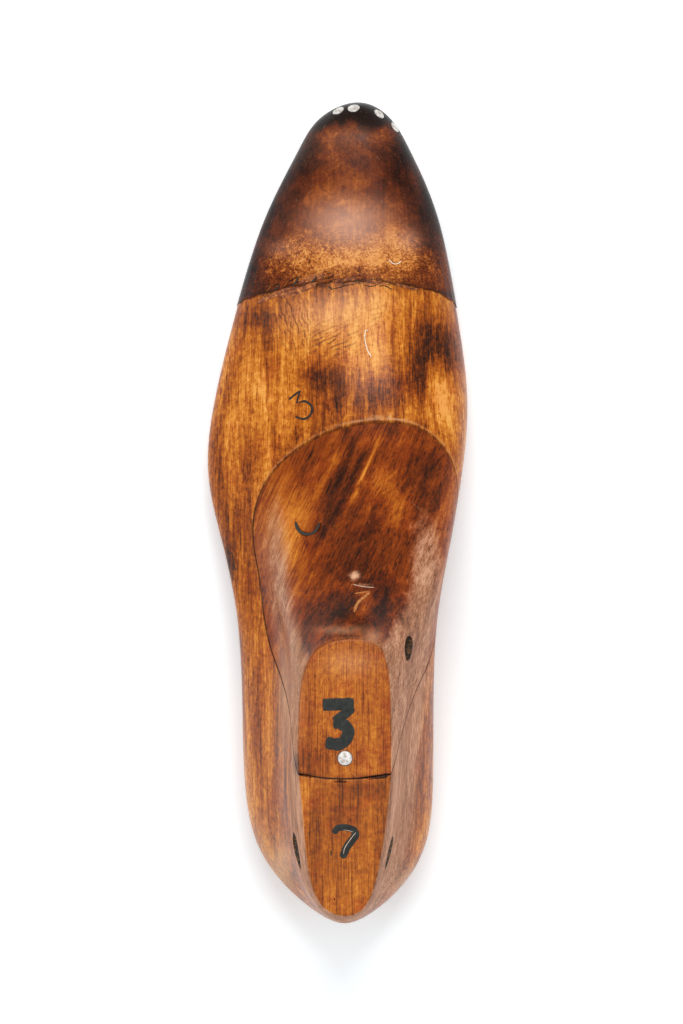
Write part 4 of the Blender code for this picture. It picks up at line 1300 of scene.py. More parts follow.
@dataclass(frozen=True)
class ToeHide:
    """Thick leather, near black at its sides and tip and scuffed to orange fibres on top, with a painted
    sheen.
    """

    name: str = "toe_hide"
    roughness: float = 0.20
    specular: float = 0.05
    coat: float = 0.04
    coat_roughness: float = 0.20
    hairlines: float = 0.18
    sheen_rose: tuple = (0.78, 0.46, 0.34, 1.0)
    tear_black: tuple = (0.016, 0.009, 0.005, 1.0)
    hairline_tan: tuple = (0.45, 0.30, 0.22, 1.0)
    browns: tuple = (
        (0.0, 0.008, 0.002, 0.001), (0.22, 0.060, 0.012, 0.004), (0.42, 0.15, 0.028, 0.006),
        (0.6, 0.31, 0.074, 0.012), (0.78, 0.60, 0.19, 0.034), (1.0, 0.90, 0.40, 0.11),
    )

    def material(self, effects: Effects) -> Material:
        """Return the material.

        Args:
            effects: The shader groups that it uses.

        Returns:
            The material, fed by the values painted on the piece.
        """
        material, wire, shader = new_material(self.name)
        place = millimetres(wire)
        scuffs = wire.group(effects.scuffs, {"Vector": place})
        cloud = wire.noise(place, 0.16, 4.0, 0.62, 0.5)
        fibre = wire.noise(place, 0.85, 5.0, 0.74, 1.2)
        drawn = wire.streaks(place, (0.9, 0.06, 0.9), 3.0, 0.6)
        scuff = wire.painted("scuff")
        rough_fibre = wire.times(wire.calc("SUBTRACT", fibre, 0.5), scuff)
        level = wire.summed(
            -0.30, (cloud, 0.85), (fibre, 0.46), (drawn, 0.30), (rough_fibre, 1.7),
            (wire.painted("tone"), 1.0),
        )
        # A rosy tint painted as the leather's sheen
        colour = wire.blend(wire.painted("haze"), wire.ramp(level, self.browns), self.sheen_rose)
        crease = wire.group(effects.creases, {"Vector": place, "Turn": 1.3})[0]
        torn = wire.times(crease, wire.painted("torn"))
        colour = wire.blend(wire.times(torn, 0.9), colour, self.tear_black)
        # Soiling along the rear edge, and painted shade on the flakes' steep sides
        grime = wire.times(wire.painted("grime"), wire.summed(0.3, (fibre, 1.2)), True)
        colour = wire.blend(grime, colour, DIRT_AND_SHADE_BLACK)
        colour = wire.blend(wire.times(scuffs["Hairline"], self.hairlines), colour, self.hairline_tan)
        height = wire.summed(0.0, (fibre, 0.6), (cloud, 0.4), (drawn, 0.2), (rough_fibre, 1.6), (torn, -2.0))
        wire.fill(shader, {
            "Base Color": colour,
            "Roughness": wire.summed(self.roughness, (scuff, 0.30), (scuffs["Scuff"], 0.10), (fibre, 0.08)),
            "Normal": wire.bumped(height, 0.5, 0.0003),
            "Specular IOR Level": self.specular,
            "Coat Weight": self.coat,
            "Coat Roughness": self.coat_roughness,
        })
        return material


@dataclass(frozen=True)
class WornSteel:
    """Bright steel with fine scratches, dull flecks and a little rust."""

    name: str
    bright: tuple = (0.86, 0.83, 0.79, 1.0)
    dull: tuple = (0.44, 0.38, 0.33, 1.0)
    roughness: float = 0.36
    metallic: float = 0.55

    def material(self) -> Material:
        """Return the material."""
        material, wire, shader = new_material(self.name)
        place = millimetres(wire)
        cloud = wire.noise(place, 0.9, 4.0, 0.65)
        scratch = wire.streaks(place, (9.0, 0.8, 9.0), 2.0, 0.5, turn=0.7)
        level = wire.band(wire.summed(0.0, (cloud, 0.7), (scratch, 0.3)), 0.36, 0.62)
        height = wire.summed(0.0, (cloud, 0.8), (scratch, 0.35))
        wire.fill(shader, {
            "Base Color": wire.blend(level, self.dull, self.bright),
            "Roughness": wire.summed(self.roughness, (cloud, 0.18), (scratch, 0.12)),
            "Metallic": wire.times(wire.band(cloud, 0.15, 0.35), self.metallic),
            "Normal": wire.bumped(height, 0.6, 0.00012),
        })
        return material


@dataclass(frozen=True)
class BrushedPaint:
    """Thick black paint, a little glossy and worn through in flecks."""

    name: str = "black_paint"
    blacks: tuple = ((0.3, 0.010, 0.011, 0.010), (0.7, 0.034, 0.038, 0.034))
    worn_brown: tuple = (0.20, 0.085, 0.035, 1.0)
    specular: float = 0.25

    def material(self) -> Material:
        """Return the material."""
        material, wire, shader = new_material(self.name)
        place = millimetres(wire)
        cloud = wire.noise(place, 0.7, 4.0, 0.7)
        worn = wire.band(wire.streaks(place, (2.0, 0.6, 2.0), 4.0, 0.8), 0.66, 0.74)
        wire.fill(shader, {
            "Base Color": wire.blend(worn, wire.ramp(cloud, self.blacks), self.worn_brown),
            "Roughness": wire.summed(0.30, (cloud, 0.25), (worn, 0.2)),
            "Normal": wire.bumped(cloud, 0.5, 0.0002),
            "Specular IOR Level": self.specular,
        })
        return material


@dataclass(frozen=True)
class HollowColour:
    """What a hole or a stamped line shows inside: dark soiling, in the holes also painted shade, or the pale
    wood of a fresh scratch.
    """

    name: str
    dark: tuple
    light: tuple
    darkness: float = 0.3

    def material(self) -> Material:
        """Return the material."""
        material, wire, shader = new_material(self.name)
        cloud = wire.noise(millimetres(wire), 0.9, 4.0, 0.7)
        wire.fill(shader, {
            "Base Color": wire.ramp(cloud, ((self.darkness, *self.dark), (0.7, *self.light))),
            "Roughness": wire.summed(0.6, (cloud, 0.3)),
            "Normal": wire.bumped(cloud, 0.5, 0.0002),
        })
        return material


@dataclass(frozen=True)
class Stain:
    """A soft patch of tone seen from above, its strength falling off as a bell curve."""

    x: float
    y: float
    wide: float
    long: float
    tone: float
    turn: float = 0.0

    def at(self, place: Array) -> Array:
        """Return the patch's tone at each point: tone times exp(-(u^2 + v^2))."""
        dx, dy = place[:, 0] - self.x, place[:, 1] - self.y
        c, s = math.cos(math.radians(self.turn)), math.sin(math.radians(self.turn))
        u, v = (c * dx + s * dy) / self.wide, (c * dy - s * dx) / self.long
        return self.tone * np.exp(-(u**2) - v**2)


def listed(kind: Callable, *rows: tuple) -> tuple:
    """Return what a class or a function makes of each row."""
    return tuple(kind(*row) for row in rows)


# Soft patches: each row gives where, how wide and how long, how strong, and a turn if it slants
PALE_STAINS = listed(
    Stain,
    (3.9, 88.9, 1.5, 1.1, 1.1), (7.0, 85.9, 3.6, 0.6, 0.5), (-20.0, -20.0, 5.0, 7.0, 0.5),
    (-23.0, 101.0, 4.0, 16.0, 0.42), (-20.5, 80.0, 3.4, 13.0, 0.5), (27.0, 92.0, 5.0, 18.0, 0.5),
    (-19.0, 43.0, 3.0, 13.0, 0.5), (-22.0, 13.0, 4.5, 10.0, -0.7), (-18.2, 30.5, 2.6, 3.4, -1.2),
    (21.0, 23.0, 4.0, 10.0, -0.12),
)
PLATE_STAINS = listed(
    Stain,
    (0.6, 45.0, 60.0, 50.0, 0.05), (0.6, 50.0, 16.0, 18.0, 0.13), (-8.5, -2.0, 4.0, 16.0, -0.10),
    (-10.0, 31.0, 4.0, 5.0, -0.16), (5.0, 22.0, 8.0, 3.5, -0.26), (-1.0, 14.0, 7.0, 6.0, -0.10),
    (1.0, -10.0, 8.0, 8.0, 0.06), (10.0, 36.0, 3.0, 12.0, 0.08), (0.0, 6.0, 14.0, 12.0, -0.05),
    (3.0, 62.0, 10.0, 3.0, 0.10), (5.0, 27.0, 9.0, 3.0, 0.14), (-10.5, 44.0, 2.0, 12.0, -0.10),
)
WEAR_STAINS = listed(
    Stain,
    (-22.0, -15.0, 4.5, 8.0, 0.9), (21.0, -17.0, 4.0, 6.0, 0.6), (-28.0, -2.0, 3.0, 8.0, 0.4),
    (10.0, 67.3, 3.0, 1.2, 0.45),
)
DIRT_STAINS = listed(
    Stain,
    (-15.3, 29.5, 1.6, 4.6, 0.75), (4.0, 67.0, 11.0, 3.0, 0.12), (11.0, 25.6, 4.5, 0.7, 0.6),
    (-11.5, 26.2, 2.5, 0.6, 0.6),
)
# Pale tan patches: the first two, on the vamp's top, are painted sheen; the rest are pale worn spots
SHEEN_AND_WEAR_STAINS = listed(
    Stain,
    (-7.0, 178.0, 14.0, 7.0, 0.24), (6.0, 183.0, 10.0, 4.0, 0.12), (2.0, 62.0, 8.0, 4.0, 0.12),
    (3.9, 88.9, 0.9, 0.8, 0.8), (-20.5, -7.0, 3.0, 7.0, 0.36), (-19.0, 43.0, 4.0, 16.0, 0.19),
    (0.0, 71.9, 7.0, 1.1, 0.20), (9.4, 70.0, 2.6, 1.6, 0.24), (-17.5, 58.0, 3.5, 14.0, 0.22),
)
# Rosy patches on the leather's top: painted sheen
SHEEN_STAINS = listed(
    Stain,
    (1.5, 210.0, 12.5, 7.0, 0.52), (4.0, 203.5, 16.0, 4.5, 0.16), (22.5, 203.5, 4.0, 4.0, 0.22),
    (-21.0, 201.0, 5.0, 3.0, 0.14), (-1.0, 237.0, 14.0, 8.0, 0.05), (4.0, 239.5, 8.0, 3.0, 0.07),
)
CRACKLE_STAINS = listed(
    Stain,
    (-21.0, 178.0, 9.0, 8.0, 1.0), (-14.0, 169.0, 7.0, 7.0, 0.5), (33.0, 181.0, 8.0, 5.0, 0.6),
    (5.0, 186.0, 12.0, 3.0, 0.6),
)
FOLD_STAINS = listed(Stain, (-4.0, 168.0, 9.0, 6.0, 1.0), (12.0, 176.0, 6.0, 5.0, 0.4))
VAMP_STAINS = listed(
    Stain,
    # The first patch below, at y 176, brightens the vamp's top where the lamp over the toe shines: partly
    # painted sheen
    (-3.0, 176.0, 16.0, 9.0, 0.38), (-4.0, 165.0, 12.0, 8.0, 0.20), (41.0, 130.0, 6.0, 16.0, 0.14),
    (-25.0, 148.0, 14.0, 18.0, 0.20), (33.0, 146.0, 8.0, 12.0, 0.18), (20.0, 182.0, 5.0, 6.0, 0.14),
    (9.0, 162.0, 12.0, 7.0, 0.14), (33.0, 167.0, 7.5, 10.0, -0.60), (23.0, 154.0, 6.0, 8.0, -0.22),
    (10.0, 150.0, 14.0, 8.0, -0.20), (-10.0, 157.0, 9.0, 3.5, -0.24), (-31.0, 177.0, 8.0, 4.0, -0.3),
    (-40.0, 92.0, 3.0, 9.0, -0.30), (-16.0, 132.0, 2.5, 12.0, -0.26), (-38.0, 112.0, 5.0, 14.0, -0.20),
    (36.0, 152.0, 7.0, 8.0, 0.16), (38.0, 120.0, 5.0, 20.0, 0.02), (16.0, 143.0, 20.0, 2.5, 0.12),
    (-31.0, 2.0, 6.0, 24.0, 0.20), (-24.0, -16.0, 8.0, 10.0, 0.16), (29.0, -8.0, 6.0, 14.0, 0.16),
)
BLOCK_STAINS = listed(
    Stain,
    (8.0, 124.0, 22.0, 16.0, -0.14), (3.0, 92.0, 14.0, 16.0, -0.22),
    (-4.0, 108.0, 2.2, 15.0, -0.12, -28.0), (-0.6, 122.3, 1.1, 14.0, -0.40, -24.0),
    (9.8, 106.0, 1.2, 7.0, -0.24, -12.0), (0.0, 110.0, 8.0, 3.5, -0.12),
    (3.8, 123.0, 0.9, 14.0, -0.24, -23.5), (7.4, 123.6, 0.5, 15.0, 0.55, -23.7),
    (18.0, 112.5, 3.2, 7.0, 0.31), (11.5, 121.0, 4.0, 7.0, 0.28, -23.0),
    (-2.5, 128.0, 2.5, 5.0, 0.22, -20.0), (13.8, 134.0, 6.0, 3.0, 0.20),
    (-11.0, 127.0, 7.0, 8.0, -0.08), (0.5, 77.0, 14.0, 5.5, -0.30), (16.0, 78.0, 5.0, 9.0, -0.18),
    (-11.0, 66.0, 3.0, 8.0, -0.16), (-20.0, 104.0, 7.0, 16.0, 0.32), (7.5, 79.0, 2.2, 2.6, 0.34),
    (3.0, 78.0, 2.0, 2.0, 0.14), (8.0, 139.0, 18.0, 4.0, -0.06), (26.0, 122.0, 9.0, 12.0, -0.14),
    (28.0, 100.0, 5.0, 10.0, -0.06), (-11.0, 108.5, 2.4, 2.2, 0.20),
)
TOE_STAINS = listed(
    Stain,
    (2.0, 197.0, 29.0, 8.0, 0.42), (18.0, 205.0, 9.0, 6.0, 0.22), (-18.0, 202.0, 6.0, 5.0, 0.10),
    # The first patch below, at y 212, brightens the toe's top where it shines: partly painted sheen
    (2.0, 212.0, 13.0, 7.0, 0.16), (3.0, 223.0, 5.0, 8.0, 0.20), (-6.0, 221.0, 6.0, 8.0, 0.10),
    (-2.7, 238.0, 6.0, 5.0, 0.08), (14.0, 240.0, 4.0, 4.0, 0.02), (19.5, 231.0, 6.0, 11.0, -0.34),
    (30.0, 212.0, 6.0, 16.0, -0.36), (-24.0, 214.0, 8.0, 16.0, -0.26), (-13.0, 234.0, 6.0, 10.0, -0.32),
    (35.0, 192.0, 4.0, 9.0, 0.04), (-33.0, 194.0, 5.0, 10.0, -0.36), (5.0, 229.0, 9.0, 10.0, -0.10),
)


def bell(offset: Array, width: object) -> Array:
    """Return 1 where the offset is 0, falling off as exp(-(offset / width)^2)."""
    return np.exp(-((offset / width) ** 2))


class Canvas:
    """A mesh's points in millimetres, their normals and the values painted on them."""

    def __init__(self, obj: Piece) -> None:
        """Read the points and the normals."""
        self.mesh = obj.data
        self.place = self._read("co") / MM
        self.normal = self._read("normal")

    def _read(self, name: str) -> Array:
        """Return three values for each point."""
        values = np.empty(3 * len(self.mesh.vertices))
        self.mesh.vertices.foreach_get(name, values)
        return values.reshape(-1, 3)

    def stained(self, stains: tuple) -> Array:
        """Return the sum of the stains on what faces up."""
        total = sum((stain.at(self.place) for stain in stains), np.zeros(len(self.place)))
        return total * smooth_step((self.normal[:, 2] + 0.1) / 0.4)

    def paint(self, **values: object) -> None:
        """Write named values, each an array or one number, onto the points."""
        for name, value in values.items():
            layer = self.mesh.attributes.new(name, "FLOAT", "POINT")
            layer.data.foreach_set("value", np.full(len(self.place), value, np.float32))


# How many points the grid of the uncut skin has along each side and up it
SKIN_GRID = (260, 60)


def whole_skin() -> BVHTree:
    """Return a tree of the uncut last's skin, in millimetres."""
    along, up = SKIN_GRID
    run, climb = np.meshgrid(np.linspace(0.0, FORM.half, along), np.linspace(0.0, RIDGE, up), indexing="ij")
    points = np.concatenate([FORM.skin(side, run, climb).reshape(-1, 3) for side in Side])
    quads = ring_faces(along, up, False)
    faces = np.concatenate([quads, quads + along * up])
    return BVHTree.FromPolygons(points.tolist(), faces.tolist())


def depth_under_skin(place: Array) -> Array:
    """Return how far each point lies from the uncut last's skin and from its plate."""
    skin = whole_skin()
    nearest = np.array([skin.find_nearest(point)[3] for point in place.tolist()])
    return np.minimum(nearest, np.abs(PLATE_HEIGHT - place[:, 2]))


def leather_rear(x: Array) -> Array:
    """Return where the leather's rear edge lies across the instep, read off the edge itself."""
    climb = np.linspace(*REAR_CLIMBS)
    edge = np.concatenate([FORM.skin(side, LEATHER.rear(side, climb), climb) for side in Side])
    edge = edge[np.argsort(edge[:, 0])]
    return np.interp(x, edge[:, 0], edge[:, 1])


def cone_paleness(canvas: Canvas) -> Array:
    """Return where hands have left the cone's side walls raw: steep, high and behind the vamp."""
    x, y, z = canvas.place.T
    steep = smooth_step((0.80 - np.abs(canvas.normal[:, 2])) / 0.3)
    lateral = smooth_step((14.0 - x) / 26.0)
    floor, reach = 32.0 + 30.0 * lateral, 30.0 - 10.0 * lateral
    high = smooth_step((z - floor - 0.08 * np.abs(y)) / reach)
    behind = smooth_step((110.0 - y) / 58.0)
    front = smooth_step((y - 40.0) / 20.0) * smooth_step((canvas.normal[:, 1] - 0.25) / 0.4)
    return 0.9 * steep * high * behind * (1.0 - front)


def paint_wood(obj: Piece, stains: tuple, cut: Callable, above: float) -> None:
    """Paint the tones, the raw, worn and bare wood, the soiling, the painted sheen and the painted seam
    highlight of the body or the block.

    Args:
        obj: The piece.
        stains: Its patches of tone.
        cut: Its side of the saw cut.
        above: 1 where the piece lies under the cut, -1 where it lies over it.
    """
    canvas = Canvas(obj)
    x, y, z = canvas.place.T
    up = canvas.normal[:, 2]
    slope = cut(x, y + 0.5) - cut(x, y - 0.5)
    from_cut = (cut(x, y) - z) * above / np.sqrt(1.0 + slope**2)
    on_plate = smooth_step((z - 97.5) / 0.45) * smooth_step((up - 0.8) / 0.15)
    off_plate = 1.0 - on_plate
    inside = smooth_step((depth_under_skin(canvas.place) - 0.7) / 0.8)
    bare = smooth_step((0.25 - from_cut) / 0.2) * inside * off_plate
    ahead = smooth_step((y - 112.0) / 12.0)
    seam = (0.75 - 0.35 * ahead) * bell(from_cut, 0.16 - 0.05 * ahead) * (1.0 - bare)
    # A painted highlight on the body's side of the seam, where its rounded edge catches the light
    edge_highlight = bell(from_cut - 0.36, 0.14) * (1.0 - bare) * off_plate * (above > 0) * ahead
    rim = smooth_step((z - 96.4) / 0.8) * off_plate * smooth_step((up - 0.25) / 0.3)
    sole = smooth_step((-up - 0.3) / 0.4)
    tone = canvas.stained(stains) * off_plate - 0.12 * sole + canvas.stained(PLATE_STAINS) * on_plate
    shade = 0.45 + 0.3 * np.abs(wander(x, 6.0, 12))
    by_leather = 0.8 * bell(y - leather_rear(x) + 0.3, shade) * (up > 0.2)
    masks = {
        "pale": cone_paleness(canvas) * off_plate + canvas.stained(PALE_STAINS),
        "bare": bare,
        "grime": seam + canvas.stained(DIRT_STAINS) + by_leather,
        "plate": on_plate,
        "wear": 0.12 * rim + 1.1 * edge_highlight + canvas.stained(WEAR_STAINS) * off_plate,
        "crackle": canvas.stained(CRACKLE_STAINS),
        "fold": canvas.stained(FOLD_STAINS),
        # Painted sheen on the vamp's top and a faint one over the plates, with pale worn spots
        "haze": canvas.stained(SHEEN_AND_WEAR_STAINS) + 0.035 * on_plate,
    }
    canvas.paint(tone=tone, **{name: np.clip(mask, 0.0, 1.0) for name, mask in masks.items()})


# Where along the leather its black tip begins and its two scuffed bands lie, with their widths
TIP_EDGE = 240.2
SCUFF_BAND = (197.0, 10.0)
TIP_BAND = (238.0, 7.0)


def paint_leather(obj: Piece) -> None:
    """Paint the leather's dark sides and tip, its scuffed band, its painted sheen and the soiling along its
    rear edge.
    """
    canvas = Canvas(obj)
    x, y, _ = canvas.place.T
    side = smooth_step((0.78 - canvas.normal[:, 2]) / 0.5)
    top = 1.0 - side
    tip = smooth_step((y - TIP_EDGE + 1.2 * wander(x, 18.0, 77)) / 8.0)
    bands = [bell(y - middle, width) * top for middle, width in (SCUFF_BAND, TIP_BAND)]
    inward = y - leather_rear(x)
    canvas.paint(
        tone=canvas.stained(TOE_STAINS) - 0.16 * side - 0.75 * tip - 0.08,
        scuff=np.clip(bands[0] + 0.35 * bands[1], 0.0, 1.0),
        grime=0.7 * bell(inward, 0.8),
        haze=canvas.stained(SHEEN_STAINS),
        torn=bell(inward - 1.8, 2.2) * (0.35 + 0.65 * smooth_step((8.0 - x) / 16.0)) * top,
    )


def paint_flakes(obj: Piece) -> None:
    """Paint the torn flakes: fibrous, and darkened as painted shade where they face sideways or down."""
    canvas = Canvas(obj)
    ragged = wander(canvas.place[:, 0] * 1.5 + canvas.place[:, 1], 7.0, 31)
    # Painted shade: darker where the flakes' surface faces sideways or down
    low = smooth_step((0.6 - canvas.normal[:, 2]) / 0.4)
    canvas.paint(tone=0.08 + 0.14 * ragged, scuff=0.5, grime=0.9 * low, haze=0.1, torn=0.5)


def surface_of(obj: Piece) -> BVHTree:
    """Return a tree to cast rays at, in metres."""
    return BVHTree.FromObject(obj, bpy.context.evaluated_depsgraph_get())


def joint_surface(*names: str) -> BVHTree:
    """Return a tree of several pieces together, in metres."""
    points, faces = [], []
    for name in names:
        mesh = bpy.data.objects[name].data
        faces += [[corner + len(points) for corner in face.vertices] for face in mesh.polygons]
        points += [tuple(vertex.co) for vertex in mesh.vertices]
    return BVHTree.FromPolygons(points, faces)


# The height in metres, over every piece, from which rays are dropped
RAYS_FROM = 0.2


def dropped(surface: BVHTree, plan: Array) -> tuple[Array, Array]:
    """Return the points on a surface straight under plan points, and the surface's normals."""
    down = Vector((0.0, 0.0, -1.0))
    hits = [surface.ray_cast(Vector((x * MM, y * MM, RAYS_FROM)), down) for x, y in plan]
    place = np.array([hit[0] for hit in hits]) / MM
    return place, unit(np.array([hit[1] for hit in hits]))


def smooth_path(knots: tuple, step: float) -> Array:
    """Return a smooth path through plan knots: Catmull-Rom spans sampled a step apart."""
    points = np.array(knots, float)
    ends = np.concatenate([2 * points[:1] - points[1:2], points, 2 * points[-1:] - points[-2:-1]])
    spans = []
    for a, b, c, d in zip(ends, ends[1:], ends[2:], ends[3:]):
        count = max(2, int(np.linalg.norm(c - b) / step))
        t = (np.arange(count) / count)[:, None]
        square, cube = 2 * a - 5 * b + 4 * c - d, 3 * b - a - 3 * c + d
        spans.append(0.5 * (2 * b + (c - a) * t + square * t**2 + cube * t**3))
    return np.concatenate(spans + [points[-1:]])


def coated(obj: Piece, material: Material) -> Piece:
    """Return the piece, given its material."""
    obj.data.materials.append(material)
    return obj


def stroke(
    path: Array, normals: Array, half_width: float, half_height: float, rag: float = 0.0, seed: int = 1,
    square: float = 8.0,
) -> tuple[Array, Array]:
    """Return a closed stroke laid along a path on a surface.

    An ellipse is carried along the path, its width across the surface. Towards both ends it
    narrows as the root of 1 - e^square does, with e from -1 to 1 along the path.

    Args:
        path: The path's points.
        normals: The surface's normals there.
        half_width: Half the ellipse's width.
        half_height: Half its height.
        rag: How much the width wanders, as a share.
        seed: Picks the wandering.
        square: How square the ends are.

    Returns:
        The points ring by ring, and the faces.
    """
    around = 12
    tangent = unit(np.gradient(path, axis=0))
    side = unit(np.cross(tangent, normals))
    up = np.cross(side, tangent)
    length = travelled(path)
    reach = 2.0 * length / length[-1] - 1.0
    taper = np.sqrt(np.clip(1.0 - np.abs(reach) ** square, 0.0, 1.0))
    width = half_width * taper * (1.0 + rag * wander(length, 4.0, seed))
    angle = (2.0 * math.pi * np.arange(around) / around)[None, :, None]
    rings = path[:, None] + width[:, None, None] * np.cos(angle) * side[:, None]
    rings = rings + (half_height * taper)[:, None, None] * np.sin(angle) * up[:, None]
    return rings, ring_faces(len(path), around)


def strokes(name: str, parts: list) -> Piece:
    """Return one closed piece made of several strokes."""
    points, faces, start = [], [], 0
    for rings, quads in parts:
        points.append(rings.reshape(-1, 3))
        faces.append(quads + start)
        start += points[-1].shape[0]
    return solid(name, np.concatenate(points), np.concatenate(faces))


def lathe(profile: object, around: int, rag: float = 0.0, seed: int = 1) -> tuple[Array, Array]:
    """Return a turned shape about its own Z.

    Args:
        profile: Pairs of a radius and a height from top to bottom, the first and the last on the axis.
        around: How many points go round.
        rag: How far the outline strays from round, as a share.
        seed: Picks how it strays.

    Returns:
        The points ring by ring, and the faces.
    """
    shape = np.array(profile, float)
    angle = 2.0 * math.pi * np.arange(around) / around
    chance = np.random.default_rng(seed).uniform(0.0, 2.0 * math.pi, 3)
    two, three, five = (np.sin(waves * angle + begin) for waves, begin in zip((2, 3, 5), chance))
    stray = 1.0 + rag * (two + 0.7 * three + 0.5 * five)
    radius = shape[:, :1] * stray[None, :]
    height = np.broadcast_to(shape[:, 1:], radius.shape)
    rings = np.stack([radius * np.cos(angle), radius * np.sin(angle), height], axis=2)
    return rings, ring_faces(len(shape), around)


def stepped(top: float, wide: float, step: float, narrow: float, end: float) -> tuple:
    """Return the profile of a bore: wide from its top to the step, and narrow from there to its end."""
    return ((0.0, top), (wide, top), (wide, step), (narrow, step), (narrow, end), (0.0, end))


def stood(points: Array, spot: Array, axis: Array) -> Array:
    """Return points moved to a spot, with their own Z along an axis."""
    turn = Vector((0.0, 0.0, 1.0)).rotation_difference(Vector(axis)).to_matrix()
    return points @ np.array(turn).T + spot


@dataclass(frozen=True)
class Flake:
    """A torn sliver of leather or wood lying along a plan line, one edge lifted a little."""

    start: tuple
    end: tuple
    width: float
    lift: float
    bend: float
    seed: int
    thickness: float = 0.14
    sink: float = 0.05
    rows: int = 26
    columns: int = 9

    def rings(self, surface: BVHTree) -> tuple[Array, Array]:
        """Return the flake's closed rings and faces.

        Along the flake its half width is width times the root of 1 - e^4, with e from -1 to 1, and
        wanders. Across it the far edge rises by lift times the square of the share across.
        """
        e = np.linspace(-1.0, 1.0, self.rows)
        begin, finish = np.array(self.start), np.array(self.end)
        along = finish - begin
        square = np.array((-along[1], along[0])) / np.linalg.norm(along)
        plan = begin + 0.5 * (e + 1.0)[:, None] * along + (self.bend * (1.0 - e**2))[:, None] * square
        ragged = 1.0 + 0.25 * wander(e * 6.0, 15.0, self.seed)
        half = self.width * np.sqrt(np.clip(1.0 - e**4, 0.0, 1.0)) * ragged
        share = np.linspace(-1.0, 1.0, self.columns)
        grid = plan[:, None] + (half[:, None] * share[None, :])[..., None] * square
        grid += 0.12 * wander(e * 6.0, 5.0, self.seed + 50)[:, None, None] * square
        place, normal = (found.reshape(*grid.shape[:2], 3) for found in dropped(surface, grid.reshape(-1, 2)))
        rise = self.lift * (0.5 * (share + 1.0)) ** 2 * (1.0 - e[:, None] ** 4)
        full = self.thickness * np.clip(1.0 - e[:, None] ** 6, 0.02, 1.0)
        curl = 0.12 * wander(share[None, :] * 2.0 + e[:, None] * 5.0, 4.0, self.seed + 90)
        top = place + normal * (rise * (1.0 + curl) + full)[..., None]
        base = place + normal * (rise * (1.0 + curl) - self.sink)[..., None]
        loop = np.concatenate([top, base[:, ::-1]], axis=1)
        return loop, np.concatenate([ring_faces(self.rows, 2 * self.columns), self._ends()])

    def _ends(self) -> Array:
        """Return the quads that close the first and the last ring."""
        near, around = np.arange(self.columns - 1), 2 * self.columns
        cap = np.stack([near, near + 1, around - 2 - near, around - 1 - near], axis=1)
        return np.concatenate([cap, cap[:, ::-1] + (self.rows - 1) * around])


# Torn strips on the lateral half of the edge, then small lifted flakes over the instep: each row
# gives a start, an end, half a width, a lift, a bend and a seed
LEATHER_FLAKES = listed(
    Flake,
    ((-30.0, 182.3), (-16.0, 187.2), 0.9, 0.15, 0.3, 1),
    ((-22.5, 184.3), (-9.0, 188.6), 1.1, 0.22, -0.5, 2),
    ((-15.5, 188.6), (-6.0, 191.4), 0.8, 0.30, 0.3, 3),
    ((-4.0, 188.7), (4.5, 190.0), 0.5, 0.25, 0.3, 5), ((8.0, 189.4), (16.0, 188.4), 0.5, 0.25, -0.3, 6),
    ((17.5, 188.6), (26.0, 186.6), 0.35, 0.15, -0.3, 8),
)
SEAM_SPLINTERS = listed(
    Flake,
    ((7.6, 24.9), (14.2, 25.6), 0.45, 0.1, 0.1, 9), ((-13.4, 26.2), (-9.0, 25.5), 0.45, 0.1, 0.1, 10),
    ((-3.0, 24.0), (1.5, 23.9), 0.3, 0.06, 0.1, 11),
)


@dataclass(frozen=True)
class HookHoles:
    """The holes that the last is pulled by: one through the heel's cone and one in the block."""

    heel_radius: float = 4.5
    heel_y: float = -1.0
    heel_z: float = 80.0
    heel_worn: float = 2.0
    worn_from: float = 12.6
    worn_to: float = 16.2
    block_radius: float = 4.1
    block_y: float = 65.3
    block_z: float = 78.0
    block_end: float = 3.6
    reach: float = 40.0

    def heel_cutter(self, shaded_dirt: Material) -> Piece:
        """Return the cutter of the hole right through the heel's cone, its mouths worn wider."""
        worn = self.heel_radius + self.heel_worn
        flank = ((worn, self.reach), (worn, self.worn_to), (self.heel_radius, self.worn_from))
        half = ((0.0, self.reach), *flank)
        profile = half + tuple((radius, -height) for radius, height in reversed(half))
        return self._cutter("heel_hook_cutter", profile, (0.3, self.heel_y, self.heel_z), 0.3, shaded_dirt)

    def block_cutter(self, shaded_dirt: Material) -> Piece:
        """Return the cutter of the blind hole in the block's medial wall."""
        radius, end = self.block_radius, self.block_end
        shoulder = ((radius, end + 1.5), (0.8 * radius, end + 0.3), (0.0, end))
        profile = ((0.0, self.reach), (radius, self.reach), *shoulder)
        return self._cutter("block_hook_cutter", profile, (0.0, self.block_y, self.block_z), 0.0, shaded_dirt)

    @staticmethod
    def _cutter(name: str, profile: tuple, spot: tuple, flare: float, shaded_dirt: Material) -> Piece:
        """Return a turned cutter whose axis runs along X through a spot, its ends worn taller."""
        points, faces = lathe(profile, 40, 0.008, 4)
        points = stood(points, np.array((0.0, 0.0, 0.0)), np.array((1.0, 0.0, 0.0)))
        medial = smooth_step((points[..., 0] - 11.0) / 5.0)
        points[..., 2] *= 1.0 + flare * (smooth_step((np.abs(points[..., 0]) - 13.0) / 4.0) + 0.3 * medial)
        points[..., 1] -= 4.0 * flare * medial
        return coated(solid(name, points + np.array(spot), faces), shaded_dirt)


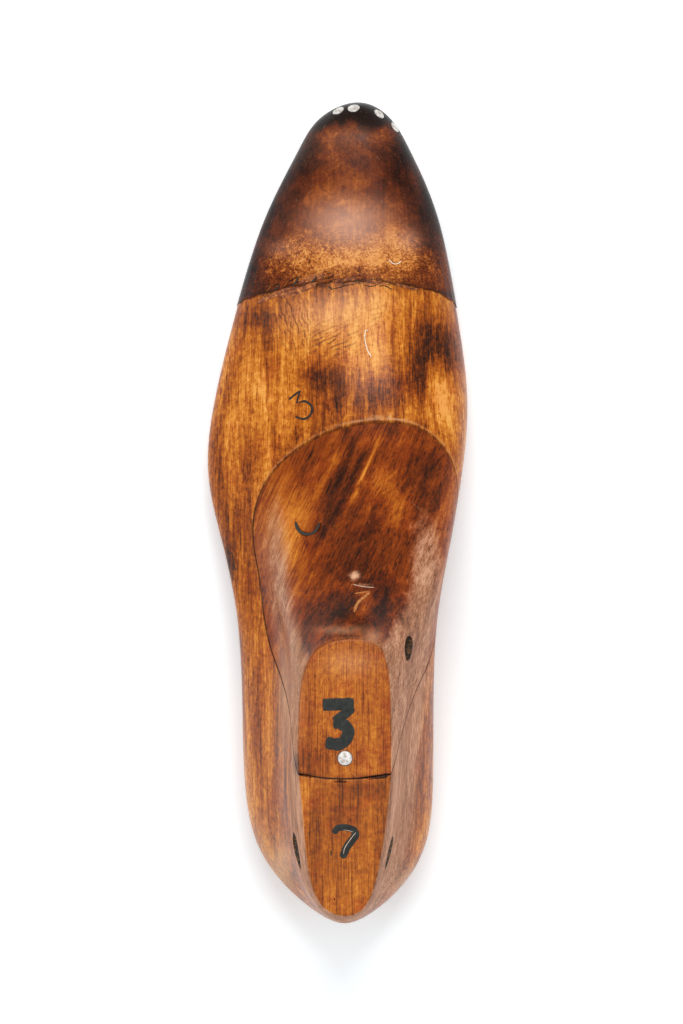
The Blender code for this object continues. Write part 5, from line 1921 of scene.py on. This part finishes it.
@dataclass(frozen=True)
class ToeNail:
    """A flat nail through the toe leather, seen from above at x and y."""

    name: str
    node: str
    x: float
    y: float
    seed: int
    head_radius: float = 2.05
    head_depth: float = 0.7
    crown: float = 0.28
    shank_radius: float = 0.8
    length: float = 9.0
    point: float = 2.0
    clearance: float = 0.1
    probe: float = 0.8

    def spot(self, leather: BVHTree) -> tuple[Array, Array]:
        """Return where the nail goes in, and its axis: the mean of the normals round about."""
        around = np.array(((0, 0), (1, 0), (-1, 0), (0, 1), (0, -1))) * self.probe + (self.x, self.y)
        place, normal = dropped(leather, around)
        return place[0], unit(normal.mean(axis=0))

    def build(self, spot: Array, axis: Array) -> Piece:
        """Return the nail: a hammered crown, a thin head, a shank and a point."""
        head, shank, under = self.head_radius, self.shank_radius, -self.head_depth
        crown = ((0.0, 0.8), (0.25, 0.95), (0.5, 1.0), (0.75, 0.8), (0.92, 0.45))
        profile = [(share * head, height * self.crown) for share, height in crown]
        profile += [(head, 0.0), (head, 0.6 * under), (0.9 * head, under), (shank, under)]
        profile += [(shank, self.point - self.length), (0.0, -self.length)]
        points, faces = lathe(profile, 32, 0.022, self.seed)
        radius = np.linalg.norm(points[..., :2], axis=2)
        dents = 0.07 * wander(points[..., 0] * 3.0 + self.seed, 5.0, self.seed)
        dents = dents + 0.05 * wander(points[..., 1] * 3.0, 4.0, self.seed + 9)
        on_top = smooth_step((points[..., 2] + 0.2) / 0.2)
        points[..., 2] += dents * on_top * smooth_step((head - radius) / 0.8)
        return solid(self.name, stood(points, spot, axis), faces)

    def cutter(self, spot: Array, axis: Array) -> Piece:
        """Return the cutter of the nail's hole and of the seat of its head."""
        head, shank = self.head_radius * 1.04 + self.clearance, self.shank_radius + self.clearance
        profile = stepped(3.0, head, -self.head_depth - self.clearance, shank, -self.length - 0.1)
        points, faces = lathe(profile, 32)
        return solid(self.name + "_cutter", stood(points, spot, axis), faces)


NAILS = listed(
    ToeNail,
    ("lateral_nail", "toe_nail_lateral", -1.6, 249.4, 11),
    ("centre_nail", "toe_nail_centre", 3.7, 250.0, 12),
    ("medial_nail", "toe_nail_medial", 12.6, 248.3, 13),
    ("side_nail", "toe_nail_side", 18.2, 244.0, 14),
)


@dataclass(frozen=True)
class BlockPin:
    """The steel pin down through the block, its flat head level with the plate."""

    x: float = 0.6
    y: float = 31.4
    head_radius: float = 2.3
    head_depth: float = 1.4
    radius: float = 1.3
    length: float = 42.0
    point: float = 2.0
    clearance: float = 0.15
    sleeve_wall: float = 0.8
    sleeve_end: float = 38.0
    cutter_top: float = 5.0
    cutter_end: float = -60.0

    def build(self) -> Piece:
        """Return the pin, its head's edge broken by a small bevel."""
        head, shank, under = self.head_radius, self.radius, -self.head_depth
        profile = (
            (0.0, -0.02), (0.5 * head, -0.01), (0.86 * head, 0.0), (head, -0.2), (head, -1.2),
            (0.94 * head, under), (shank, under), (shank, self.point - self.length),
            (0.4 * shank, -self.length), (0.0, -self.length),
        )
        return self._turned("pin_steel", *lathe(profile, 40, 0.006, 3))

    def _turned(self, name: str, points: Array, faces: Array) -> Piece:
        """Return a turned piece moved to the pin's axis, its own zero level with the plate."""
        return solid(name, points + np.array((self.x, self.y, PLATE_HEIGHT)), faces)

    def block_cutter(self, shaded_dirt: Material) -> Piece:
        """Return the cutter of the countersunk bore in the block."""
        head, shank = self.head_radius + self.clearance, self.radius + self.clearance
        under = -self.head_depth - self.clearance
        profile = stepped(self.cutter_top, head, under, shank, self.cutter_end)
        return coated(self._turned("block_bore", *lathe(profile, 40)), shaded_dirt)

    def body_cutter(self, shaded_dirt: Material) -> Piece:
        """Return the cutter of the stepped bore in the last, wide where the sleeve sits."""
        shank = self.radius + self.clearance
        seat, step = shank + self.sleeve_wall + self.clearance, -self.sleeve_end - self.clearance
        profile = stepped(self.cutter_top, seat, step, shank, -self.length - self.point)
        return coated(self._turned("body_bore", *lathe(profile, 40)), shaded_dirt)


# Brush strokes of the painted digits, and the scratches in one: knots, half width, how square the ends are
PAINTED_THREE = (
    (((-6.5, 48.4), (-2.0, 48.6), (3.5, 48.7)), 1.95, 40.0),
    (((3.0, 48.0), (0.2, 45.2), (-2.7, 42.9)), 1.65, 16.0),
    (((-3.2, 42.6), (-0.6, 42.5), (1.6, 40.4), (0.9, 37.5), (-1.5, 35.9), (-5.6, 36.5)), 1.95, 26.0),
)
PAINTED_SEVEN = (
    (((-2.9, 7.4), (-1.6, 9.2), (1.6, 9.3), (4.5, 8.2)), 1.05, 8.0),
    (((4.4, 8.6), (3.6, 6.4), (1.3, 3.3), (-0.3, -0.4)), 1.22, 8.0),
)
PAINT_SCRATCH = (
    (((4.1, 7.9), (2.6, 6.0), (0.6, 3.0), (0.1, 0.9)), 0.11, 4.0),
    (((0.0, 8.6), (1.4, 8.5), (3.2, 8.0)), 0.07, 4.0),
)


@dataclass(frozen=True)
class Groove:
    """A line stamped or scratched into a surface, its knots seen from above."""

    knots: tuple
    half_width: float
    depth: float

    def cutter(self, surface: BVHTree, material: Material) -> Piece:
        """Return the cutter of the groove, which leaves its material there."""
        path, normals = dropped(surface, smooth_path(self.knots, 0.35))
        rings, faces = stroke(path, normals, self.half_width, self.depth, 0.12, len(self.knots))
        return coated(solid("groove_cutter", rings, faces), material)


STAMPED_THREE = listed(
    Groove,
    (((-18.7, 148.3), (-16.6, 150.0), (-14.6, 151.4)), 0.40, 0.4),
    (((-14.7, 151.5), (-15.4, 149.1), (-15.9, 146.9)), 0.34, 0.4),
    (
        ((-15.5, 147.2), (-12.9, 147.7), (-10.7, 145.8), (-11.1, 143.1), (-13.5, 141.6), (-16.5, 142.6)),
        0.42, 0.4,
    ),
)
STAMPED_SEVEN = listed(
    Groove,
    (((3.8, 83.2), (6.4, 83.6), (9.0, 83.9)), 0.30, 0.3),
    (((8.8, 83.6), (4.9, 80.4), (3.6, 77.4)), 0.50, 0.3),
)
HALF_RING = Groove(
    ((-16.0, 106.6), (-15.1, 104.0), (-13.2, 102.6), (-11.0, 102.4), (-9.0, 103.6), (-7.8, 106.2)), 0.55, 0.35
)
VAMP_SCRATCH = Groove(((8.9, 172.0), (7.8, 172.1), (7.5, 169.4), (8.3, 165.6), (9.7, 162.9)), 0.16, 0.12)
BLOCK_SCRATCH = Groove(((3.3, 86.1), (6.6, 85.4), (10.4, 85.1)), 0.14, 0.12)
LEATHER_SCRATCH = Groove(((15.7, 196.9), (16.9, 195.6), (18.6, 195.3), (20.2, 196.4)), 0.15, 0.12)
BODY_NICKS = listed(
    Groove,
    (((-3.0, -13.4), (-2.5, -13.4)), 0.42, 0.4), (((-3.9, 2.2), (-3.8, 1.0), (-3.9, 0.0)), 0.22, 0.25),
    (((-38.6, 96.0), (-38.0, 93.6)), 0.35, 0.3), (((-37.9, 92.2), (-37.1, 89.4)), 0.40, 0.3),
)


def edge_groove(start: float, end: float, offsets: tuple, half_width: float, depth: float) -> Groove:
    """Return a groove laid by the leather's rear edge.

    Args:
        start: Its x where it begins.
        end: Its x where it ends.
        offsets: How far it lies inside the leather, at even steps from its start to its end.
        half_width: Half its width.
        depth: Its depth.

    Returns:
        The groove.
    """
    x = np.linspace(start, end, len(offsets))
    return Groove(tuple(zip(x.tolist(), (leather_rear(x) + np.array(offsets)).tolist())), half_width, depth)


def torn_crack(start: float, end: float, reach: float, half_width: float) -> Groove:
    """Return a crack that runs from the leather's rear edge a reach into the leather."""
    return edge_groove(start, end, (0.5, 0.5 * reach, reach), half_width, 0.35)


# Cracks across the leather's torn edge, and the outlines of the chips on the wood behind it
TORN_CRACKS = listed(
    torn_crack,
    (-26.9, -24.9, 2.0, 0.22), (-23.9, -21.8, 2.2, 0.28), (-21.0, -18.8, 2.4, 0.24),
    (-17.4, -15.4, 2.6, 0.34), (-14.3, -12.3, 2.4, 0.26), (-11.0, -8.9, 2.6, 0.36),
    (-8.2, -6.9, 2.8, 0.62), (20.5, 22.8, 1.6, 0.20),
)
CHIP_LINES = listed(
    edge_groove,
    (-3.8, 4.2, (-2.6, -1.6, -1.0, -1.2), 0.16, 0.22), (-5.2, -3.6, (-1.0, -1.8, -3.0), 0.24, 0.25),
    (7.0, 12.8, (-1.2, -1.7, -1.1), 0.15, 0.22), (12.2, 17.0, (-1.9, -1.4, -2.1), 0.20, 0.22),
    (20.5, 25.2, (-0.9, -1.2, -1.0), 0.14, 0.20),
)


@dataclass(frozen=True)
class PaintedNumber:
    """A number brushed onto a plate in thick paint."""

    name: str
    brush_strokes: tuple
    lift: float = 0.0
    thickness: float = 0.12
    overlap: float = 0.012

    def build(self) -> Piece:
        """Return the strokes as thin domed ribbons on the plate, each a little over the one before."""
        parts = []
        for number, (knots, half_width, square) in enumerate(self.brush_strokes):
            plan = smooth_path(knots, 0.12)
            level = PLATE_HEIGHT + self.lift + 0.5 * self.thickness + 0.01 + self.overlap * number
            path = np.column_stack([plan, np.full(len(plan), level)])
            up = np.broadcast_to(np.array((0.0, 0.0, 1.0)), path.shape)
            parts.append(stroke(path, up, half_width, 0.5 * self.thickness, 0.05, 20 + number, square))
        return strokes(self.name, parts)


@dataclass(frozen=True)
class Studio:
    """The camera straight above, the pale floor and the soft lights."""

    camera_height: float = 900.0
    camera_x: float = -0.5
    camera_y: float = 109.8
    focal_pixels: float = 2520.0
    image_height: float = 1024.0
    sensor: float = 36.0
    daylight: float = 0.66
    floor_reach: float = 6.0
    floor_grey: tuple = (0.80, 0.80, 0.80, 1.0)
    # Paper round the last, bluer than farther off so that the last's shadow turns cool: a painted shade tint
    shadow_tint_paper: tuple = (1.295, 1.385, 1.42, 1.0)
    paper_far: tuple = (1.30, 1.36, 1.385, 1.0)
    paper_middle: tuple = (0.0, 60.0, 0.0)
    paper_band: tuple = (130.0, 210.0)
    lamps_face: tuple = (0.0, 0.11, 0.03)

    def build(self) -> None:
        """Put up the camera, the floor, the lamps and the world."""
        scene = bpy.context.scene
        scene.view_settings.view_transform = "Standard"
        lens = bpy.data.cameras.new("camera")
        lens.lens = self.focal_pixels * self.sensor / self.image_height
        lens.sensor_width = self.sensor
        lens.clip_start, lens.clip_end = 0.01, 50.0
        camera = bpy.data.objects.new("camera", lens)
        camera.location = (self.camera_x * MM, self.camera_y * MM, self.camera_height * MM)
        scene.collection.objects.link(camera)
        scene.camera = camera
        self._floor()
        self._lamp("over_toe", (0.01, 0.725, 1.3), (0.5, 0.16), 6.0)
        self._lamp("left_wall", (-1.35, 0.1, 0.75), (0.9, 1.5), 2.6)
        self._lamp("right_wall", (1.35, 0.1, 0.75), (0.9, 1.5), 1.8)
        self._world()

    def _floor(self) -> None:
        """Lay the floor, whose colour is lifted to white where it is seen or mirrored."""
        mesh = bpy.data.meshes.new("floor")
        reach = self.floor_reach
        corners = [(-reach, -reach, 0.0), (reach, -reach, 0.0), (reach, reach, 0.0), (-reach, reach, 0.0)]
        mesh.from_pydata(corners, [], [(0, 1, 2, 3)])
        floor = bpy.data.objects.new("floor", mesh)
        bpy.context.scene.collection.objects.link(floor)
        material, wire, shader = new_material("floor_paper")
        rays = wire.add("ShaderNodeLightPath").outputs
        mirrored = wire.calc("MAXIMUM", rays["Is Glossy Ray"], rays["Is Transmission Ray"])
        seen = wire.calc("MAXIMUM", rays["Is Camera Ray"], mirrored)
        ends = {0: millimetres(wire), 1: self.paper_middle}
        away = wire.add("ShaderNodeVectorMath", ends, operation="DISTANCE").outputs["Value"]
        # The cooler paper round the last tints its shadow: painted shade colour
        paper = wire.blend(wire.band(away, *self.paper_band), self.shadow_tint_paper, self.paper_far)
        colour = wire.blend(seen, self.floor_grey, paper)
        wire.fill(shader, {"Base Color": colour, "Roughness": 0.9, "Specular IOR Level": 0.1})
        coated(floor, material)

    def _lamp(self, name: str, spot: tuple, size: tuple, power: float) -> None:
        """Hang a soft box that faces the last's middle."""
        lamp = bpy.data.lights.new(name, "AREA")
        lamp.shape = "RECTANGLE"
        lamp.size, lamp.size_y = size
        lamp.energy = power
        obj = bpy.data.objects.new(name, lamp)
        obj.location = spot
        facing = Vector(self.lamps_face) - Vector(spot)
        obj.rotation_euler = facing.to_track_quat("-Z", "Y").to_euler()
        bpy.context.scene.collection.objects.link(obj)

    def _world(self) -> None:
        """Make the world an even pale grey light, and white where it is seen or mirrored."""
        world = bpy.data.worlds.new("studio")
        world.use_nodes = True
        bpy.context.scene.world = world
        wire = Wiring(world.node_tree)
        background = world.node_tree.nodes["Background"]
        background.inputs["Color"].default_value = (1.0, 1.0, 1.0, 1.0)
        rays = wire.add("ShaderNodeLightPath").outputs
        kinds = ("Is Camera Ray", "Is Glossy Ray", "Is Transmission Ray")
        seen = [(rays[kind], 1.0 - self.daylight) for kind in kinds]
        wire.feed(background.inputs["Strength"], wire.summed(self.daylight, *seen))


BODY_WOOD = WaxedWood("waxed_wood")
BLOCK_WOOD = WaxedWood(
    "block_waxed_wood", browns=BLOCK_BROWNS, turn=0.42, lift=-0.10, mottling=0.42, fibres=0.24,
    streaking=1.4, pores=0.1,
)
# The angle between two faces from which the edge between them is shaded sharp
SHARP_EDGE = math.radians(40.0)


class Workshop:
    """Builds and dresses every piece of the last."""

    def __init__(self) -> None:
        """Mix the finishes."""
        effects = Effects()
        self.body_wood = BODY_WOOD.material(effects)
        self.block_wood = BLOCK_WOOD.material(effects)
        self.hide = ToeHide().material(effects)
        self.nail_steel = WornSteel("nail_steel_worn").material()
        self.pin_steel = WornSteel("pin_steel_worn", bright=(0.92, 0.90, 0.87, 1.0), metallic=0.25).material()
        self.spring_steel = WornSteel("spring_steel_worn", bright=(0.5, 0.5, 0.5, 1.0)).material()
        self.paint = BrushedPaint().material()
        # Near black inside the hook holes, nail holes and bores: soiling and painted shade in the recess
        self.shaded_dirt = HollowColour("hole_dirt", (0.007, 0.003, 0.002), (0.28, 0.12, 0.030), 0.46).material()
        self.ink = HollowColour("stamp_dirt", (0.008, 0.006, 0.005), (0.045, 0.032, 0.022)).material()
        self.orange = HollowColour("worn_stamp", (0.30, 0.08, 0.012), (0.74, 0.32, 0.09)).material()
        self.scratch = HollowColour("fresh_scratch", (0.86, 0.72, 0.55), (1.0, 0.96, 0.88)).material()
        self.old_scratch = HollowColour("old_scratch", (0.58, 0.38, 0.28), (0.86, 0.72, 0.58)).material()

    def finish(self, obj: Piece, body: str, slot: str, *nodes: str) -> None:
        """Shade a piece's sharp edges, fix it to its body, and hide and log the CAD nodes that it stands for.
        """
        obj.data.set_sharp_from_angle(angle=SHARP_EDGE)
        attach(obj, body)
        if nodes:
            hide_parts(*nodes)
        log.info("%s rides on %s and stands for %s", obj.name, body, ", ".join(nodes) or "nothing")

    def toe(self) -> list:
        """Build the toe leather and its nails, and return the cutters of the nails' holes."""
        leather = coated(LEATHER.build(), self.hide)
        surface = surface_of(leather)
        spots = {nail: nail.spot(surface) for nail in NAILS}
        cutters = self.nail_holes(spots) + [groove.cutter(surface, self.ink) for groove in TORN_CRACKS]
        carve(leather, cutters + [LEATHER_SCRATCH.cutter(surface, self.scratch)])
        paint_leather(leather)
        self.finish(leather, "last", "toe_leather", "toe_cover")
        for nail in NAILS:
            self.finish(coated(nail.build(*spots[nail]), self.nail_steel), "last", "nail_steel", nail.node)
        return self.nail_holes(spots)

    def nail_holes(self, spots: dict) -> list:
        """Return the cutters of the nails' holes, which leave soiling and painted shade in them."""
        return [coated(nail.cutter(*spot), self.shaded_dirt) for nail, spot in spots.items()]

    def wooden_pieces(self, nail_holes: list) -> None:
        """Build the body and the block, bored, stamped and stained."""
        holes, pin = HookHoles(), BlockPin()
        body = coated(LastBody().build(), self.body_wood)
        over = surface_of(body)
        cutters = nail_holes + [holes.heel_cutter(self.shaded_dirt), pin.body_cutter(self.shaded_dirt)]
        cutters += [groove.cutter(over, self.ink) for groove in STAMPED_THREE + BODY_NICKS + CHIP_LINES]
        carve(body, cutters + [VAMP_SCRATCH.cutter(over, self.scratch)])
        paint_wood(body, VAMP_STAINS, BODY_CUT, 1.0)
        self.finish(body, "last", "body_wood", "last_body")
        block = coated(ScoopBlock().build(), self.block_wood)
        over = surface_of(block)
        cutters = [holes.block_cutter(self.shaded_dirt), pin.block_cutter(self.shaded_dirt)]
        cutters += [groove.cutter(over, self.orange) for groove in STAMPED_SEVEN]
        cutters += [HALF_RING.cutter(over, self.ink), BLOCK_SCRATCH.cutter(over, self.old_scratch)]
        carve(block, cutters)
        paint_wood(block, BLOCK_STAINS, BLOCK_CUT, -1.0)
        self.finish(block, "block", "block_wood", "scoop_block")

    def flakes(self, surface: BVHTree) -> None:
        """Lay the torn leather along the cover's rear edge, and the splinters along the seam."""
        strips = strokes("leather_flakes", [flake.rings(surface) for flake in LEATHER_FLAKES])
        paint_flakes(coated(strips, self.hide))
        self.finish(strips, "last", "toe_leather")
        splinters = strokes("seam_splinters", [flake.rings(surface) for flake in SEAM_SPLINTERS])
        Canvas(coated(splinters, self.body_wood)).paint(tone=-0.35)
        self.finish(splinters, "last", "body_wood")

    def fastenings(self) -> None:
        """Build the pin and dress the sleeve that grips it."""
        self.finish(coated(BlockPin().build(), self.pin_steel), "block", "pin_steel", "block_pin")
        sleeve = frame["nodes"]["pin_sleeve"]
        for place in sleeve.material_slots:
            place.material = self.spring_steel

    def numbers(self) -> None:
        """Brush the two size numbers onto the plates, and scratch one of them."""
        three = PaintedNumber("painted_three", PAINTED_THREE).build()
        self.finish(coated(three, self.paint), "block", "block_wood")
        seven = PaintedNumber("painted_seven", PAINTED_SEVEN).build()
        self.finish(coated(seven, self.paint), "last", "body_wood")
        scraped = PaintedNumber("paint_scratches", PAINT_SCRATCH, 0.07).build()
        self.finish(coated(scraped, self.old_scratch), "last", "body_wood")


def main() -> None:
    """Build and dress each piece in turn, then the studio."""
    logging.basicConfig(level=logging.INFO, format="%(name)s: %(message)s")
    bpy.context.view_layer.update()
    shop = Workshop()
    shop.wooden_pieces(shop.toe())
    shop.flakes(joint_surface("last_wood", "toe_leather"))
    shop.fastenings()
    shop.numbers()
    Studio().build()


if __name__ == "__main__":
    main()
